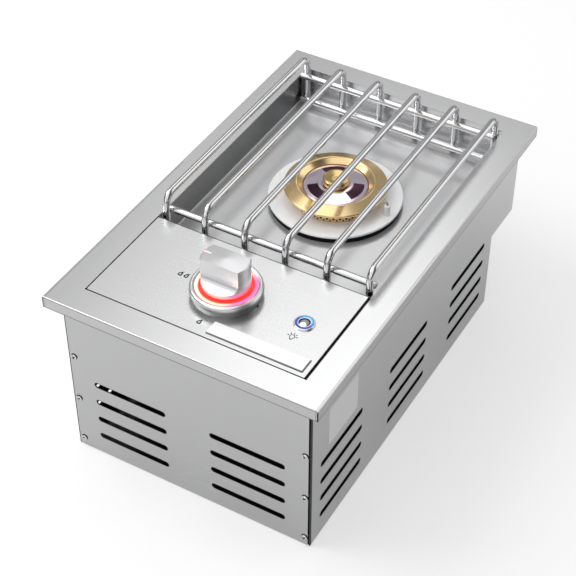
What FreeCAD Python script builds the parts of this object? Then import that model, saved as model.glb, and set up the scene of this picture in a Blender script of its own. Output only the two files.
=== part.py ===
import FreeCAD, Part
import Sketcher
import math
import os

# A drop-in gas side burner for an outdoor kitchen counter, in millimetres.
# Origin: middle of the case's underside. +X to the cook's right, +Y to the rear, +Z up.
SIZES = {
    # Top frame: a flat rim with its outer edges folded down
    "flange_wide": 320, "flange_deep": 520, "top_height": 223, "lip_height": 14,
    "rim_side": 31, "rim_front": 31, "rim_back": 29, "frame_sheet": 1.2, "frame_round": 1.1,
    # Case below the counter, with a step at the lower rear
    "case_inset": 14, "case_sheet": 1, "front_inset": 13.5, "back_inset": 12,
    "step_height": 103, "step_deep": 59, "corner_gap": 2.7, "case_fold": 12, "base_fold": 10,
    # Punched vents with round ends
    "vent_long": 88, "vent_width": 6, "vent_pitch": 26, "vent_lowest": 28,
    "side_vent_first": 79, "side_vent_pitch": 152,
    # Sheet metal screws
    "screw_inset": 6.5, "screw_lowest": 11, "screw_pitch": 62.5, "screw_radius": 1.9,
    "screw_head_radius": 4, "screw_head_height": 2.3, "screw_long": 6, "screw_hole_radius": 2.1,
    "tab_height": 14, "tab_long": 13,
    # Recess under the grate and the control panel in front of it
    "tray_deep": 39, "tray_sheet": 1, "tray_round": 4, "tray_flange": 9,
    "panel_deep": 131.5, "panel_gap": 1.5, "panel_fold": 15, "panel_round": 1,
    "rear_fold": 8.5, "support_ledge": 10,
    # Grate of bent round bars
    "bar_radius": 4, "bar_side_gap": 6, "bar_top": 28.5, "bar_bend": 13,
    "front_leg_gap": 7, "back_leg_gap": 10.5, "upper_rod_height": 2, "lower_rod_rise": 7.5,
    "rod_overhang": 3.5,
    # Burner: all heights are depths below the flange's top
    "burner_from_front": 328, "disc_reach": 27.5, "disc_deep": 30, "disc_sheet": 1.2,
    "disc_edge": 2.2, "bowl_radius": 49, "bowl_bottom": 76, "bowl_wall": 4, "bowl_floor": 6,
    "spigot_wall": 1.8, "spigot_rise": 3, "gas_channel": 5.4, "well_wall": 3, "well_deep": 36,
    "well_top": 18.7, "ledge_deep": 21.5, "post_radius": 10, "post_bore": 5, "post_top": 17,
    "ear_wide": 12, "ear_reach": 6, "ear_thick": 3, "ear_screw_gap": 8,
    "ring_top": 11, "ring_play": 1, "ring_skirt_wall": 3.4, "ring_skirt_high": 9.4,
    "ring_overhang": 7.3, "ring_undercut": 2.4, "ring_lip": 2.2, "ring_bore_gap": 0.6,
    "ring_inner_deep": 16.5, "ring_wall": 2.6, "ring_crest_shift": 1,
    "port_width": 2.2, "port_height": 2.4, "port_rise": 6.6,
    "small_port_width": 1.2, "small_port_height": 1.4, "small_port_rise": 2.4,
    "spider_sheet": 1.5, "spider_rim_deep": 17, "spider_crown_deep": 14.2, "spider_cup": 15.5,
    "spider_cup_drop": 1, "window_inner": 20, "window_rim": 4.4, "window_half_angle": 29,
    "cap_radius": 14.5, "cap_top": 6, "cap_chamfer": 1.2, "cap_rim": 1.4, "cap_dish": 2.4,
    "cap_hole": 1.5, "cap_hole_drop": 2.2, "cap_hole_deep": 2.5,
    # Spark electrode in its ceramic
    "electrode_gap": 18, "electrode_shift": 4, "ceramic_radius": 3.5, "ceramic_top": 17,
    "ceramic_long": 34,
    "ceramic_collar": 5.5, "spark_rod_radius": 1, "spark_rise": 3, "spark_reach": 5,
    # Control knob, its lit bezel and the valve under it
    "knob_from_front": 97, "knob_radius": 25.8, "knob_skirt": 5, "knob_bottom": 14,
    "knob_top": 48, "grip_thick": 26, "grip_sweep": 9, "knob_wall": 2.6, "knob_edge": 1.2,
    "hub_radius": 8, "stem_radius": 4, "stem_flat": 3, "fit_gap": 0.05, "stem_top": 40,
    "pointer_long": 9, "pointer_width": 1.8, "pointer_deep": 1.2,
    "bezel_radius": 38.5, "bezel_bore": 32.25, "bezel_height": 15, "bezel_foot": 2.1,
    "bezel_waist": 8, "bezel_belly": 10, "bezel_crest": 2.6, "bezel_lean": 1.1, "bezel_dip": 2,
    "light_ring_bore": 27, "light_ring_height": 13, "light_ring_round": 2.2,
    "bracket_sheet": 1.2, "bracket_long": 34, "bracket_leg": 28, "bracket_foot": 15,
    "bezel_screw_circle": 35.4,
    "valve_from_top": 33, "valve_radius": 15, "valve_long": 37, "valve_flange": 23,
    "valve_flange_half": 13, "valve_flange_thick": 4, "valve_screw_x": 18,
    "cover_radius": 13, "cover_chamber": 9, "cover_high": 21, "cover_wall": 1.8,
    "collar_thick": 3, "collar_radius": 7.5, "shoulder_radius": 5.8, "shoulder_thick": 1.6,
    "spring_wire": 0.45, "spring_radius": 6.2,
    "plug_radius": 8, "plug_taper": 1.5, "plug_long": 32, "plug_drop": 1,
    "tang_thick": 2.4, "tang_wide": 7, "tang_long": 9, "push_travel": 3, "easy_gap": 0.2,
    "inlet_drop": 46, "outlet_drop": 58, "outlet_radius": 7, "outlet_long": 24,
    "inlet_long": 24, "inlet_radius": 7.5, "port_bore": 2,
    # Jet, mixing tube and air shutter
    "jet_head_radius": 6, "jet_head_long": 6, "jet_radius": 4, "jet_long": 16, "jet_bore": 0.8,
    "mouth_radius": 17, "mouth_long": 20, "mouth_start": 32, "throat_radius": 11,
    "tube_wall": 1.4, "cone_long": 11,
    "socket_radius": 15, "socket_long": 10, "shutter_wall": 1.2, "shutter_long": 16,
    "shutter_gap": 0.1, "air_window_half_angle": 40, "air_window_long": 10, "tube_insert": 13,
    # Gas pipe and rear inlet
    "pipe_radius": 4.75, "pipe_bore": 3.9, "pipe_from_side": 38, "inlet_height": 63, "pipe_bend": 20,
    "nut_radius": 9.6, "nut_long": 16, "fitting_flange": 11, "fitting_flange_long": 8,
    "bulkhead_radius": 9.4, "thread_radius": 7.9, "thread_long": 24, "thread_cone": 4,
    "locknut_radius": 13.6, "locknut_long": 5,
    # Push switch for the lamps
    "switch_from_side": 37.5, "switch_from_front": 98, "switch_bezel": 11, "switch_bezel_high": 2, "switch_edge": 0.9,
    "switch_barrel": 9.3, "switch_long": 27, "switch_ring_outer": 9.8, "switch_ring_inner": 6.9,
    "switch_ring_deep": 1.2, "button_radius": 6.2, "button_long": 6, "button_proud": 1.8,
    "button_travel": 2, "button_gap": 0.15, "switch_nut": 13.2, "switch_nut_thick": 4,
    # Battery igniter box and its leads
    "box_wide": 62, "box_deep": 46, "box_high": 26, "box_wall": 2, "box_from_side": 68,
    "box_from_front": 78, "lid_thick": 2.4, "cell_radius": 7.2, "cell_long": 50,
    "cell_pitch": 18, "lead_radius": 1.5, "lead_straight": 20,
}
VENT_ROWS = 4
SIDE_VENT_GROUPS = 3
SCREW_ROWS = 3
BARS = 6
FLAME_PORTS = 45
PORTS_DRAWN = 5
CAP_HOLES = 14
SPOKES = 3
SPRING_TURNS = 5
BOWL_EARS = (90, 210, 330)
FULL_TURN = 360

document = FreeCAD.newDocument("SideBurner")
sheet = document.addObject("Spreadsheet::Sheet", "Sizes")
for row, (name, number) in enumerate(SIZES.items(), start=1):
    sheet.set(f"A{row}", name)
    sheet.set(f"B{row}", str(number))
    sheet.setAlias(f"B{row}", name)
document.recompute()


class Size:
    """A number that also carries the expression which gives it from the sheet."""

    def __init__(self, number, text):
        self.number = float(number)
        self.text = text

    def __add__(self, other):
        other = as_size(other)
        return Size(self.number + other.number, f"({self.text} + {other.text})")

    def __sub__(self, other):
        other = as_size(other)
        return Size(self.number - other.number, f"({self.text} - {other.text})")

    def __mul__(self, other):
        other = as_size(other)
        return Size(self.number * other.number, f"({self.text} * {other.text})")

    def __truediv__(self, other):
        other = as_size(other)
        return Size(self.number / other.number, f"({self.text} / {other.text})")

    def __neg__(self):
        return Size(0, "0") - self

    def __radd__(self, other):
        return as_size(other) + self

    def __rsub__(self, other):
        return as_size(other) - self

    def __rmul__(self, other):
        return as_size(other) * self


def as_size(value):
    return value if isinstance(value, Size) else Size(value, f"({float(value):.9f})")


class Sheet:
    """Gives each named size of the sheet as a Size."""

    def __getattr__(self, name):
        return Size(SIZES[name], f"Sizes.{name}")


g = Sheet()


def tie(item, name, value):
    item.setExpression(name, as_size(value).text)


def vector(x, y, z=0):
    return FreeCAD.Vector(as_size(x).number, as_size(y).number, as_size(z).number)


class Drawing:
    """A sketch on one of a body's own planes, every point of it tied to the sheet."""

    PLANES = {"XY": ("XY_Plane", 1), "XZ": ("XZ_Plane", -1), "YZ": ("YZ_Plane", 1)}

    def __init__(self, body, plane, at):
        role, self.sense = self.PLANES[plane]
        self.plane = plane
        self.sketch = body.newObject("Sketcher::SketchObject", f"{body.Name}_sketch")
        origin_plane = [o for o in body.Origin.OriginFeatures if o.Role == role][0]
        self.sketch.AttachmentSupport = [(origin_plane, "")]
        self.sketch.MapMode = "FlatFace"
        self.start = as_size(at)
        offset = self.start * self.sense
        self.sketch.AttachmentOffset = FreeCAD.Placement(vector(0, 0, offset), FreeCAD.Rotation())
        tie(self.sketch, "AttachmentOffset.Base.z", offset)

    def _bind(self, constraints, sizes):
        first = len(self.sketch.Constraints)
        self.sketch.addConstraint(constraints)
        for index, size in sizes.items():
            self.sketch.setExpression(f"Constraints[{first + index}]", size.text)

    def _place(self, constraints, sizes, geometry, point, x, y):
        for kind, size in (("DistanceX", as_size(x)), ("DistanceY", as_size(y))):
            sizes[len(constraints)] = size
            constraints.append(Sketcher.Constraint(kind, -1, 1, geometry, point, size.number))

    def _corner(self, before, here, after, radius):
        """The rounded corner's arc, and where it leaves both straight runs."""
        along_in = (before - here).normalize()
        along_out = (after - here).normalize()
        half_angle = along_in.getAngle(along_out) / 2
        reach = radius / math.tan(half_angle)
        middle = (along_in + along_out).normalize()
        centre = here + middle * (radius / math.sin(half_angle))
        leaves, joins = here + along_in * reach, here + along_out * reach
        turns_left = along_in.cross(along_out).z < 0
        first, last = (leaves, joins) if turns_left else (joins, leaves)
        angles = [math.atan2(p.y - centre.y, p.x - centre.x) for p in (first, last)]
        if angles[1] < angles[0]:
            angles[1] += 2 * math.pi
        arc = Part.ArcOfCircle(Part.Circle(centre, FreeCAD.Vector(0, 0, 1), radius), *angles)
        return arc, leaves, joins, turns_left

    def outline(self, points, closed=True):
        """Straight runs through (x, y) or (x, y, corner radius) points."""
        corners = [vector(p[0], p[1]) for p in points]
        radii = [as_size(p[2]) if len(p) > 2 else None for p in points]
        count = len(points)
        runs = count if closed else count - 1
        leave = list(corners)
        join = list(corners)
        arcs = {}
        for i, radius in enumerate(radii):
            if radius:
                before, after = corners[i - 1], corners[(i + 1) % count]
                arc, leave[i], join[i], left = self._corner(before, corners[i], after, radius.number)
                arcs[i] = (arc, left)
        base = len(self.sketch.Geometry)
        lines = [Part.LineSegment(join[i], leave[(i + 1) % count]) for i in range(runs)]
        self.sketch.addGeometry(lines, False)
        constraints, sizes = [], {}
        for i in range(count):
            line_in, line_out = base + (i - 1) % count, base + i
            if i in arcs:
                arc, left = arcs[i]
                arc_index = self.sketch.addGeometry(arc, False)
                point_index = self.sketch.addGeometry(Part.Point(corners[i]), True)
                start, end = (1, 2) if left else (2, 1)
                constraints.append(Sketcher.Constraint("Tangent", line_in, 2, arc_index, start))
                constraints.append(Sketcher.Constraint("Tangent", line_out, 1, arc_index, end))
                sizes[len(constraints)] = radii[i]
                constraints.append(Sketcher.Constraint("Radius", arc_index, radii[i].number))
                for line in (line_in, line_out):
                    constraints.append(Sketcher.Constraint("PointOnObject", point_index, 1, line))
                self._place(constraints, sizes, point_index, 1, points[i][0], points[i][1])
            elif not closed and i == count - 1:
                self._place(constraints, sizes, line_in, 2, points[i][0], points[i][1])
            else:
                if closed or i > 0:
                    constraints.append(Sketcher.Constraint("Coincident", line_in, 2, line_out, 1))
                self._place(constraints, sizes, line_out, 1, points[i][0], points[i][1])
        self._bind(constraints, sizes)
        return self

    def rectangle(self, left, right, bottom, top, radius=None):
        corners = [(left, bottom), (right, bottom), (right, top), (left, top)]
        return self.outline([c if radius is None else (*c, radius) for c in corners])

    def bar_at(self, angle, inner, outer, width):
        """A narrow rectangle that runs outwards at an angle, in degrees."""
        run = (math.cos(math.radians(angle)), math.sin(math.radians(angle)))
        half = as_size(width) / 2
        return self.outline([(reach * run[0] - side * run[1], reach * run[1] + side * run[0])
                             for reach, side in ((inner, -half), (outer, -half),
                                                 (outer, half), (inner, half))])

    def circle(self, x, y, radius):
        radius = as_size(radius)
        shape = Part.Circle(vector(x, y), FreeCAD.Vector(0, 0, 1), radius.number)
        index = self.sketch.addGeometry(shape, False)
        constraints, sizes = [], {}
        self._place(constraints, sizes, index, 3, x, y)
        sizes[len(constraints)] = radius
        constraints.append(Sketcher.Constraint("Radius", index, radius.number))
        self._bind(constraints, sizes)
        return self

    def slot(self, x, y, long, width):
        """A slot along the sketch's first axis, with half round ends."""
        x, y = as_size(x), as_size(y)
        radius = as_size(width) / 2
        reach = (as_size(long) - width) / 2
        up = FreeCAD.Vector(0, 0, 1)
        ends = []
        constraints, sizes = [], {}
        for side in (1, -1):
            centre = x + reach * side
            turn = 0 if side > 0 else math.pi
            arc = Part.ArcOfCircle(Part.Circle(vector(centre, y), up, radius.number),
                                   turn - math.pi / 2, turn + math.pi / 2)
            index = self.sketch.addGeometry(arc, False)
            ends.append(index)
            self._place(constraints, sizes, index, 3, centre, y)
            sizes[len(constraints)] = radius
            constraints.append(Sketcher.Constraint("Radius", index, radius.number))
        right, left = ends
        for side, (first, second) in ((1, (right, left)), (-1, (left, right))):
            line = Part.LineSegment(vector(x + reach * side, y + radius * side),
                                    vector(x - reach * side, y + radius * side))
            index = self.sketch.addGeometry(line, False)
            constraints.append(Sketcher.Constraint("Tangent", first, 2, index, 1))
            constraints.append(Sketcher.Constraint("Tangent", index, 2, second, 1))
        self._bind(constraints, sizes)
        return self

    def d_shape(self, x, y, radius, flat):
        """A round with one flat that faces the sketch's first axis."""
        x, y, radius, flat = (as_size(v) for v in (x, y, radius, flat))
        spread = math.acos(flat.number / radius.number)
        circle = Part.Circle(vector(x, y), FreeCAD.Vector(0, 0, 1), radius.number)
        arc = self.sketch.addGeometry(Part.ArcOfCircle(circle, spread, 2 * math.pi - spread), False)
        rise = radius.number * math.sin(spread)
        line = self.sketch.addGeometry(Part.LineSegment(
            vector(x + flat, y - rise), vector(x + flat, y + rise)), False)
        constraints, sizes = [], {}
        self._place(constraints, sizes, arc, 3, x, y)
        sizes[len(constraints)] = radius
        constraints.append(Sketcher.Constraint("Radius", arc, radius.number))
        constraints.append(Sketcher.Constraint("Coincident", arc, 2, line, 1))
        constraints.append(Sketcher.Constraint("Coincident", line, 2, arc, 1))
        constraints.append(Sketcher.Constraint("Vertical", line))
        sizes[len(constraints)] = x + flat
        constraints.append(Sketcher.Constraint("DistanceX", -1, 1, line, 1, (x + flat).number))
        self._bind(constraints, sizes)
        return self

    def hexagon(self, x, y, radius):
        """A hexagon with its corners on a circle."""
        corners = [(math.cos(math.radians(60 * i)), math.sin(math.radians(60 * i)))
                   for i in range(6)]
        radius = as_size(radius)
        return self.outline([(x + radius * cx, y + radius * cy) for cx, cy in corners])

    def sector(self, inner, outer, middle_angle, half_angle):
        """A window between two radii about the sketch's origin; angles in degrees."""
        inner, outer = as_size(inner), as_size(outer)
        up = FreeCAD.Vector(0, 0, 1)
        spread = as_size(half_angle)
        start = math.radians(middle_angle - spread.number)
        end = math.radians(middle_angle + spread.number)
        arcs = [self.sketch.addGeometry(Part.ArcOfCircle(
            Part.Circle(FreeCAD.Vector(), up, radius.number), start, end), False)
            for radius in (inner, outer)]
        sides = []
        for angle in (start, end):
            run = FreeCAD.Vector(math.cos(angle), math.sin(angle), 0)
            line = Part.LineSegment(run * inner.number, run * outer.number)
            sides.append(self.sketch.addGeometry(line, False))
        constraints, sizes = [], {}
        for arc, radius in zip(arcs, (inner, outer)):
            constraints.append(Sketcher.Constraint("Coincident", arc, 3, -1, 1))
            sizes[len(constraints)] = radius
            constraints.append(Sketcher.Constraint("Radius", arc, radius.number))
        for side, end_point in zip(sides, (1, 2)):
            constraints.append(Sketcher.Constraint("Coincident", side, 1, arcs[0], end_point))
            constraints.append(Sketcher.Constraint("Coincident", side, 2, arcs[1], end_point))
        for side, sign in zip(sides, (-1, 1)):
            angle = as_size(middle_angle) + spread * sign
            sizes[len(constraints)] = angle
            constraints.append(Sketcher.Constraint("Angle", side, math.radians(angle.number)))
        self._bind(constraints, sizes)
        return self


class Piece:
    """One sub-part: a body with a label, a place and a chain of features."""

    def __init__(self, label, x=0, y=0, z=0):
        self.body = document.addObject("PartDesign::Body", label)
        self.body.Label = label
        self.body.Placement.Base = vector(x, y, z)
        for axis, size in zip("xyz", (x, y, z)):
            tie(self.body, f"Placement.Base.{axis}", size)

    def draw(self, plane, at=0):
        return Drawing(self.body, plane, at)

    def _feature(self, kind, drawing, **settings):
        feature = self.body.newObject(f"PartDesign::{kind}", f"{self.body.Name}_{kind}")
        feature.Profile = drawing.sketch
        for name, value in settings.items():
            setattr(feature, name, value)
        drawing.sketch.Visibility = False
        return feature

    def pad(self, drawing, length):
        """Adds material from the drawing's plane towards its positive axis."""
        feature = self._feature("Pad", drawing, Reversed=drawing.plane == "XZ")
        feature.Length = as_size(length).number
        tie(feature, "Length", length)
        return self

    def pocket(self, drawing, length):
        """Takes material away from the drawing's plane towards its positive axis."""
        feature = self._feature("Pocket", drawing, Reversed=drawing.plane != "XZ")
        feature.Length = as_size(length).number
        tie(feature, "Length", length)
        self.last = feature
        return self

    def revolve(self, drawing, axis="V_Axis"):
        self._feature("Revolution", drawing, ReferenceAxis=(drawing.sketch, [axis]), Angle=FULL_TURN)
        return self

    def groove(self, drawing, axis="V_Axis"):
        self._feature("Groove", drawing, ReferenceAxis=(drawing.sketch, [axis]), Angle=FULL_TURN)
        return self

    def around(self, count, axis="Z_Axis"):
        """Repeats the last pocket about one of the body's own axes."""
        pattern = self.body.newObject("PartDesign::PolarPattern", f"{self.body.Name}_pattern")
        pattern.Originals = [self.last]
        line = [o for o in self.body.Origin.OriginFeatures if o.Role == axis][0]
        pattern.Axis = (line, [""])
        pattern.Angle = FULL_TURN
        pattern.Occurrences = count
        self.body.Tip = pattern
        return self

    def along(self, axis, pitch, count):
        """Repeats the last pocket in a row along one of the body's own axes."""
        pattern = self.body.newObject("PartDesign::LinearPattern", f"{self.body.Name}_row")
        pattern.Originals = [self.last]
        line = [o for o in self.body.Origin.OriginFeatures if o.Role == axis][0]
        pattern.Direction = (line, [""])
        pattern.Mode = "Extent"
        reach = as_size(pitch) * (count - 1)
        pattern.Length = reach.number
        tie(pattern, "Length", reach)
        pattern.Occurrences = count
        self.body.Tip = pattern
        return self

    def sweep(self, profile, path):
        runs = [i for i in range(len(path.sketch.Geometry)) if not path.sketch.getConstruction(i)]
        pipe = self._feature("AdditivePipe", profile)
        pipe.Spine = (path.sketch, [f"Edge{i + 1}" for i in range(len(runs))])
        path.sketch.Visibility = False
        return self

    def round_edges(self, radius, test):
        """Rounds the edges whose end points all pass the test."""
        document.recompute()
        tip = self.body.Tip
        names = [f"Edge{i + 1}" for i, edge in enumerate(tip.Shape.Edges)
                 if all(test(v.Point) for v in edge.Vertexes)]
        feature = self.body.newObject("PartDesign::Fillet", f"{self.body.Name}_Fillet")
        feature.Base = (tip, names)
        feature.Radius = as_size(radius).number
        tie(feature, "Radius", radius)
        return self


def near(value, size, within=0.01):
    return abs(value - as_size(size).number) < within


# Main planes, all worked out from the sheet
front = -g.flange_deep / 2
back = g.flange_deep / 2
half_wide = g.flange_wide / 2
top = g.top_height
rim_under = top - g.frame_sheet
fold_level = rim_under - g.case_sheet
open_half = half_wide - g.rim_side
open_front = front + g.rim_front
open_back = back - g.rim_back

case_half = half_wide - g.case_inset
case_inner = case_half - g.case_sheet
case_front = front + g.front_inset
case_back = back - g.back_inset
low_back = case_back - g.step_deep
face_half = case_half - g.corner_gap
screw_x = case_half - g.screw_inset
tab_inner = case_half - g.tab_long

panel_half = open_half - g.panel_gap
panel_front = open_front + g.panel_gap
panel_back = panel_front + g.panel_deep
tray_front = panel_back + g.panel_gap + g.tray_sheet
tray_floor = top - g.tray_deep
tray_under = tray_floor - g.tray_sheet

pipe_x = case_half - g.pipe_from_side
switch_x = panel_half - g.switch_from_side
box_x = case_half - g.box_from_side
knob_y = front + g.knob_from_front
switch_y = front + g.switch_from_front
burner_y = front + g.burner_from_front
disc_radius = g.bowl_radius + g.disc_reach
bowl_screw_circle = g.bowl_radius + g.ear_screw_gap
electrode_offset = g.bowl_radius + g.electrode_gap
spigot_radius = g.bowl_radius - g.bowl_wall + g.spigot_wall
skirt_bore = spigot_radius + g.ring_play
skirt_radius = skirt_bore + g.ring_skirt_wall
ring_radius = skirt_radius + g.ring_overhang
well_radius = g.bowl_radius - g.bowl_wall - g.gas_channel - g.well_wall
ring_bore = well_radius + g.ring_bore_gap
window_outer = well_radius - g.window_rim
light_lead_reach = (g.light_ring_bore + g.bezel_bore) / 2 * math.sqrt(0.5)
screw_levels = [g.screw_lowest + g.screw_pitch * i for i in range(SCREW_ROWS)]
vent_levels = [g.vent_lowest + g.vent_pitch * i for i in range(VENT_ROWS)]


def make_top_frame():
    """Rim with a hemmed lip all round its outer edge."""
    piece = Piece("top_frame", z=top)
    rim = piece.draw("XY", -g.frame_sheet).rectangle(-half_wide, half_wide, front, back)
    rim.rectangle(-open_half, open_half, open_front, open_back)
    piece.pad(rim, g.frame_sheet)
    lip = piece.draw("XY", -g.lip_height).rectangle(-half_wide, half_wide, front, back)
    lip.rectangle(g.frame_sheet - half_wide, half_wide - g.frame_sheet,
                  front + g.frame_sheet, back - g.frame_sheet)
    piece.pad(lip, g.lip_height - g.frame_sheet)
    piece.round_edges(g.frame_round, lambda p: near(p.z, 0) and
                      (near(abs(p.x), half_wide) and near(abs(p.y), back)))
    return piece


def make_front_panel():
    """Flat face with two groups of vents and a fold under the rim."""
    piece = Piece("front_panel", y=case_front)
    piece.pad(piece.draw("XZ").rectangle(-face_half, face_half, 0, rim_under), g.case_sheet)
    fold = piece.draw("XY", fold_level)
    fold.rectangle(-face_half, face_half, g.case_sheet, g.case_sheet + g.case_fold)
    piece.pad(fold, g.case_sheet)
    vents = piece.draw("XZ")
    for side in (-1, 1):
        for level in vent_levels:
            vents.slot(face_half / 2 * side, level, g.vent_long, g.vent_width)
    piece.pocket(vents, g.case_sheet)
    holes = piece.draw("XZ")
    for side in (-1, 1):
        for level in screw_levels:
            holes.circle(screw_x * side, level, g.screw_hole_radius)
    piece.pocket(holes, g.case_sheet)
    return piece


def side_span(side, inner, outer):
    """Left and right limits of something on one side of the case."""
    return (inner, outer) if side > 0 else (-outer, -inner)


def make_side_panel(label, side):
    """Stepped side with three groups of vents, screw tabs in front and folds behind."""
    piece = Piece(label)
    left, right = side_span(side, case_inner, case_half)
    wall = piece.draw("YZ", left)
    wall.outline([(case_front, 0), (low_back, 0), (low_back, g.step_height),
                  (case_back, g.step_height), (case_back, fold_level), (case_front, fold_level)])
    piece.pad(wall, g.case_sheet)
    inner_face, outer_face = side_span(side, case_half - g.case_fold, case_inner)
    top_fold = piece.draw("XY", fold_level - g.case_sheet)
    top_fold.rectangle(inner_face, outer_face, case_front + g.case_sheet * 2, case_back - g.case_sheet)
    piece.pad(top_fold, g.case_sheet)
    rear_folds = piece.draw("XZ", low_back - g.case_sheet * 2)
    rear_folds.rectangle(inner_face, outer_face, g.base_fold + g.case_sheet * 3,
                         g.step_height - g.case_fold - g.case_sheet * 3)
    piece.pad(rear_folds, g.case_sheet)
    upper_fold = piece.draw("XZ", case_back - g.case_sheet * 2)
    upper_fold.rectangle(inner_face, outer_face, g.step_height + g.case_sheet * 2,
                         fold_level - g.case_sheet)
    piece.pad(upper_fold, g.case_sheet)
    tab_left, tab_right = side_span(side, tab_inner, case_inner)
    for level in screw_levels:
        tab = piece.draw("XZ", case_front + g.case_sheet)
        tab.rectangle(tab_left, tab_right, level - g.tab_height / 2, level + g.tab_height / 2)
        piece.pad(tab, g.case_sheet)
    holes = piece.draw("XZ", case_front + g.case_sheet)
    for level in screw_levels:
        holes.circle(screw_x * side, level, g.screw_hole_radius)
    piece.pocket(holes, g.case_sheet)
    for fold_back, levels in ((low_back, low_rear_levels), (case_back, high_rear_levels)):
        rear_holes = piece.draw("XZ", fold_back - g.case_sheet * 2)
        for level in levels:
            rear_holes.circle(screw_x * side, level, g.screw_hole_radius)
        piece.pocket(rear_holes, g.case_sheet)
    vents = piece.draw("YZ", left)
    for level in vent_levels:
        vents.slot(front + g.side_vent_first, level, g.vent_long, g.vent_width)
    piece.pocket(vents, g.case_sheet)
    return piece.along("Y_Axis", g.side_vent_pitch, SIDE_VENT_GROUPS)


low_rear_levels = [g.screw_lowest + g.screw_pitch / 4, g.step_height - g.case_fold * 2]
high_rear_levels = [g.step_height + g.case_fold * 1.5, fold_level - g.case_fold * 1.5]


def make_rear_lower_panel():
    """Flat lower rear wall with the gas inlet's hole."""
    piece = Piece("rear_lower_panel", y=low_back - g.case_sheet)
    wall = piece.draw("XZ").rectangle(-face_half, face_half, 0, g.step_height)
    wall.circle(-pipe_x, g.inlet_height, g.bulkhead_radius + g.easy_gap)
    for side in (-1, 1):
        for level in low_rear_levels:
            wall.circle(screw_x * side, level, g.screw_hole_radius)
    for x in step_screw_xs:
        wall.circle(x, step_screw_level, g.screw_hole_radius)
    return piece.pad(wall, g.case_sheet)


step_screw_xs = [-face_half / 2, face_half / 2]
step_screw_level = g.step_height - g.case_fold / 2


def make_rear_upper_panel():
    """Upper rear wall folded forward as the step, with folds at both ends."""
    piece = Piece("rear_upper_panel")
    thick = g.case_sheet
    section = piece.draw("YZ", -face_half)
    section.outline([
        (case_back, g.step_height), (case_back, rim_under),
        (case_back - g.rear_fold, rim_under), (case_back - g.rear_fold, fold_level),
        (case_back - thick, fold_level),
        (case_back - thick, g.step_height + thick), (low_back - thick * 2, g.step_height + thick),
        (low_back - thick * 2, g.step_height - g.case_fold),
        (low_back - thick, g.step_height - g.case_fold), (low_back - thick, g.step_height)])
    piece.pad(section, face_half * 2)
    holes = piece.draw("XZ", case_back - thick)
    for side in (-1, 1):
        for level in high_rear_levels:
            holes.circle(screw_x * side, level, g.screw_hole_radius)
    piece.pocket(holes, thick)
    step_holes = piece.draw("XZ", low_back - thick * 2)
    for x in step_screw_xs:
        step_holes.circle(x, step_screw_level, g.screw_hole_radius)
    return piece.pocket(step_holes, thick)


def make_bottom_panel():
    """Base sheet with an upturned fold along each side, notched at the corners."""
    piece = Piece("bottom_panel")
    thick = g.case_sheet
    near_edge, far_edge = case_front + thick, low_back - thick
    reach = case_inner - g.fit_gap
    piece.pad(piece.draw("XY").rectangle(-reach, reach, near_edge, far_edge), thick)
    notch = g.tab_long + g.case_fold
    folds = piece.draw("XY", thick)
    folds.rectangle(notch - case_half, case_half - notch, near_edge, near_edge + thick)
    folds.rectangle(notch - case_half, case_half - notch, far_edge - thick, far_edge)
    folds.rectangle(-reach, thick - reach, near_edge + notch, far_edge - notch)
    folds.rectangle(reach - thick, reach, near_edge + notch, far_edge - notch)
    return piece.pad(folds, g.base_fold)


def make_burner_tray():
    """Deep pan with a flange that hangs it under the rim, open for the burner bowl."""
    piece = Piece("burner_tray")
    wall = g.tray_sheet
    outside = piece.draw("XY", tray_under)
    outside.rectangle(-open_half - wall, open_half + wall, tray_front - wall, open_back + wall,
                      g.tray_round + wall)
    piece.pad(outside, g.tray_deep + wall - g.frame_sheet)
    inside = piece.draw("XY", tray_floor)
    inside.rectangle(-open_half, open_half, tray_front, open_back, g.tray_round)
    piece.pocket(inside, g.tray_deep)
    flange = piece.draw("XY", rim_under - wall)
    outer = open_half + g.tray_flange
    flange_back = case_back - g.rear_fold - g.easy_gap
    flange_front = tray_front + g.tray_round + wall
    flange.outline([(-outer, flange_front), (-outer, flange_back), (outer, flange_back),
                    (outer, flange_front), (open_half, flange_front),
                    (open_half, open_back, g.tray_round), (-open_half, open_back, g.tray_round),
                    (-open_half, flange_front)])
    piece.pad(flange, wall)
    openings = piece.draw("XY", tray_under)
    openings.circle(0, burner_y, g.bowl_radius + g.panel_gap)
    openings.circle(*electrode_place, g.ceramic_radius + g.easy_gap)
    for x, y in bowl_screw_places:
        openings.circle(x, y, g.screw_hole_radius)
    return piece.pocket(openings, wall)


electrode_place = (electrode_offset, burner_y - g.electrode_shift)
bowl_screw_places = [
    (bowl_screw_circle * math.cos(math.radians(angle)),
     burner_y + bowl_screw_circle * math.sin(math.radians(angle)))
    for angle in BOWL_EARS]


def make_control_panel():
    """Plate with four folded edges, open for the valve stem, the switch and the screws."""
    piece = Piece("control_panel", z=top)
    thick = g.frame_sheet
    outside = piece.draw("XY", -g.panel_fold)
    outside.rectangle(-panel_half, panel_half, panel_front, panel_back, g.panel_round)
    piece.pad(outside, g.panel_fold)
    inside = piece.draw("XY", -g.panel_fold)
    inside.rectangle(thick - panel_half, panel_half - thick, panel_front + thick, panel_back - thick)
    piece.pocket(inside, g.panel_fold - thick)
    openings = piece.draw("XY", -thick)
    openings.circle(0, knob_y, g.stem_radius + g.collar_thick)
    openings.circle(switch_x, switch_y, g.switch_barrel + g.easy_gap)
    openings.circle(light_lead_reach, knob_y + light_lead_reach, g.lead_radius + g.easy_gap)
    for side in (-1, 1):
        openings.circle(g.bezel_screw_circle * side, knob_y, g.screw_hole_radius)
    return piece.pocket(openings, thick)


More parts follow.
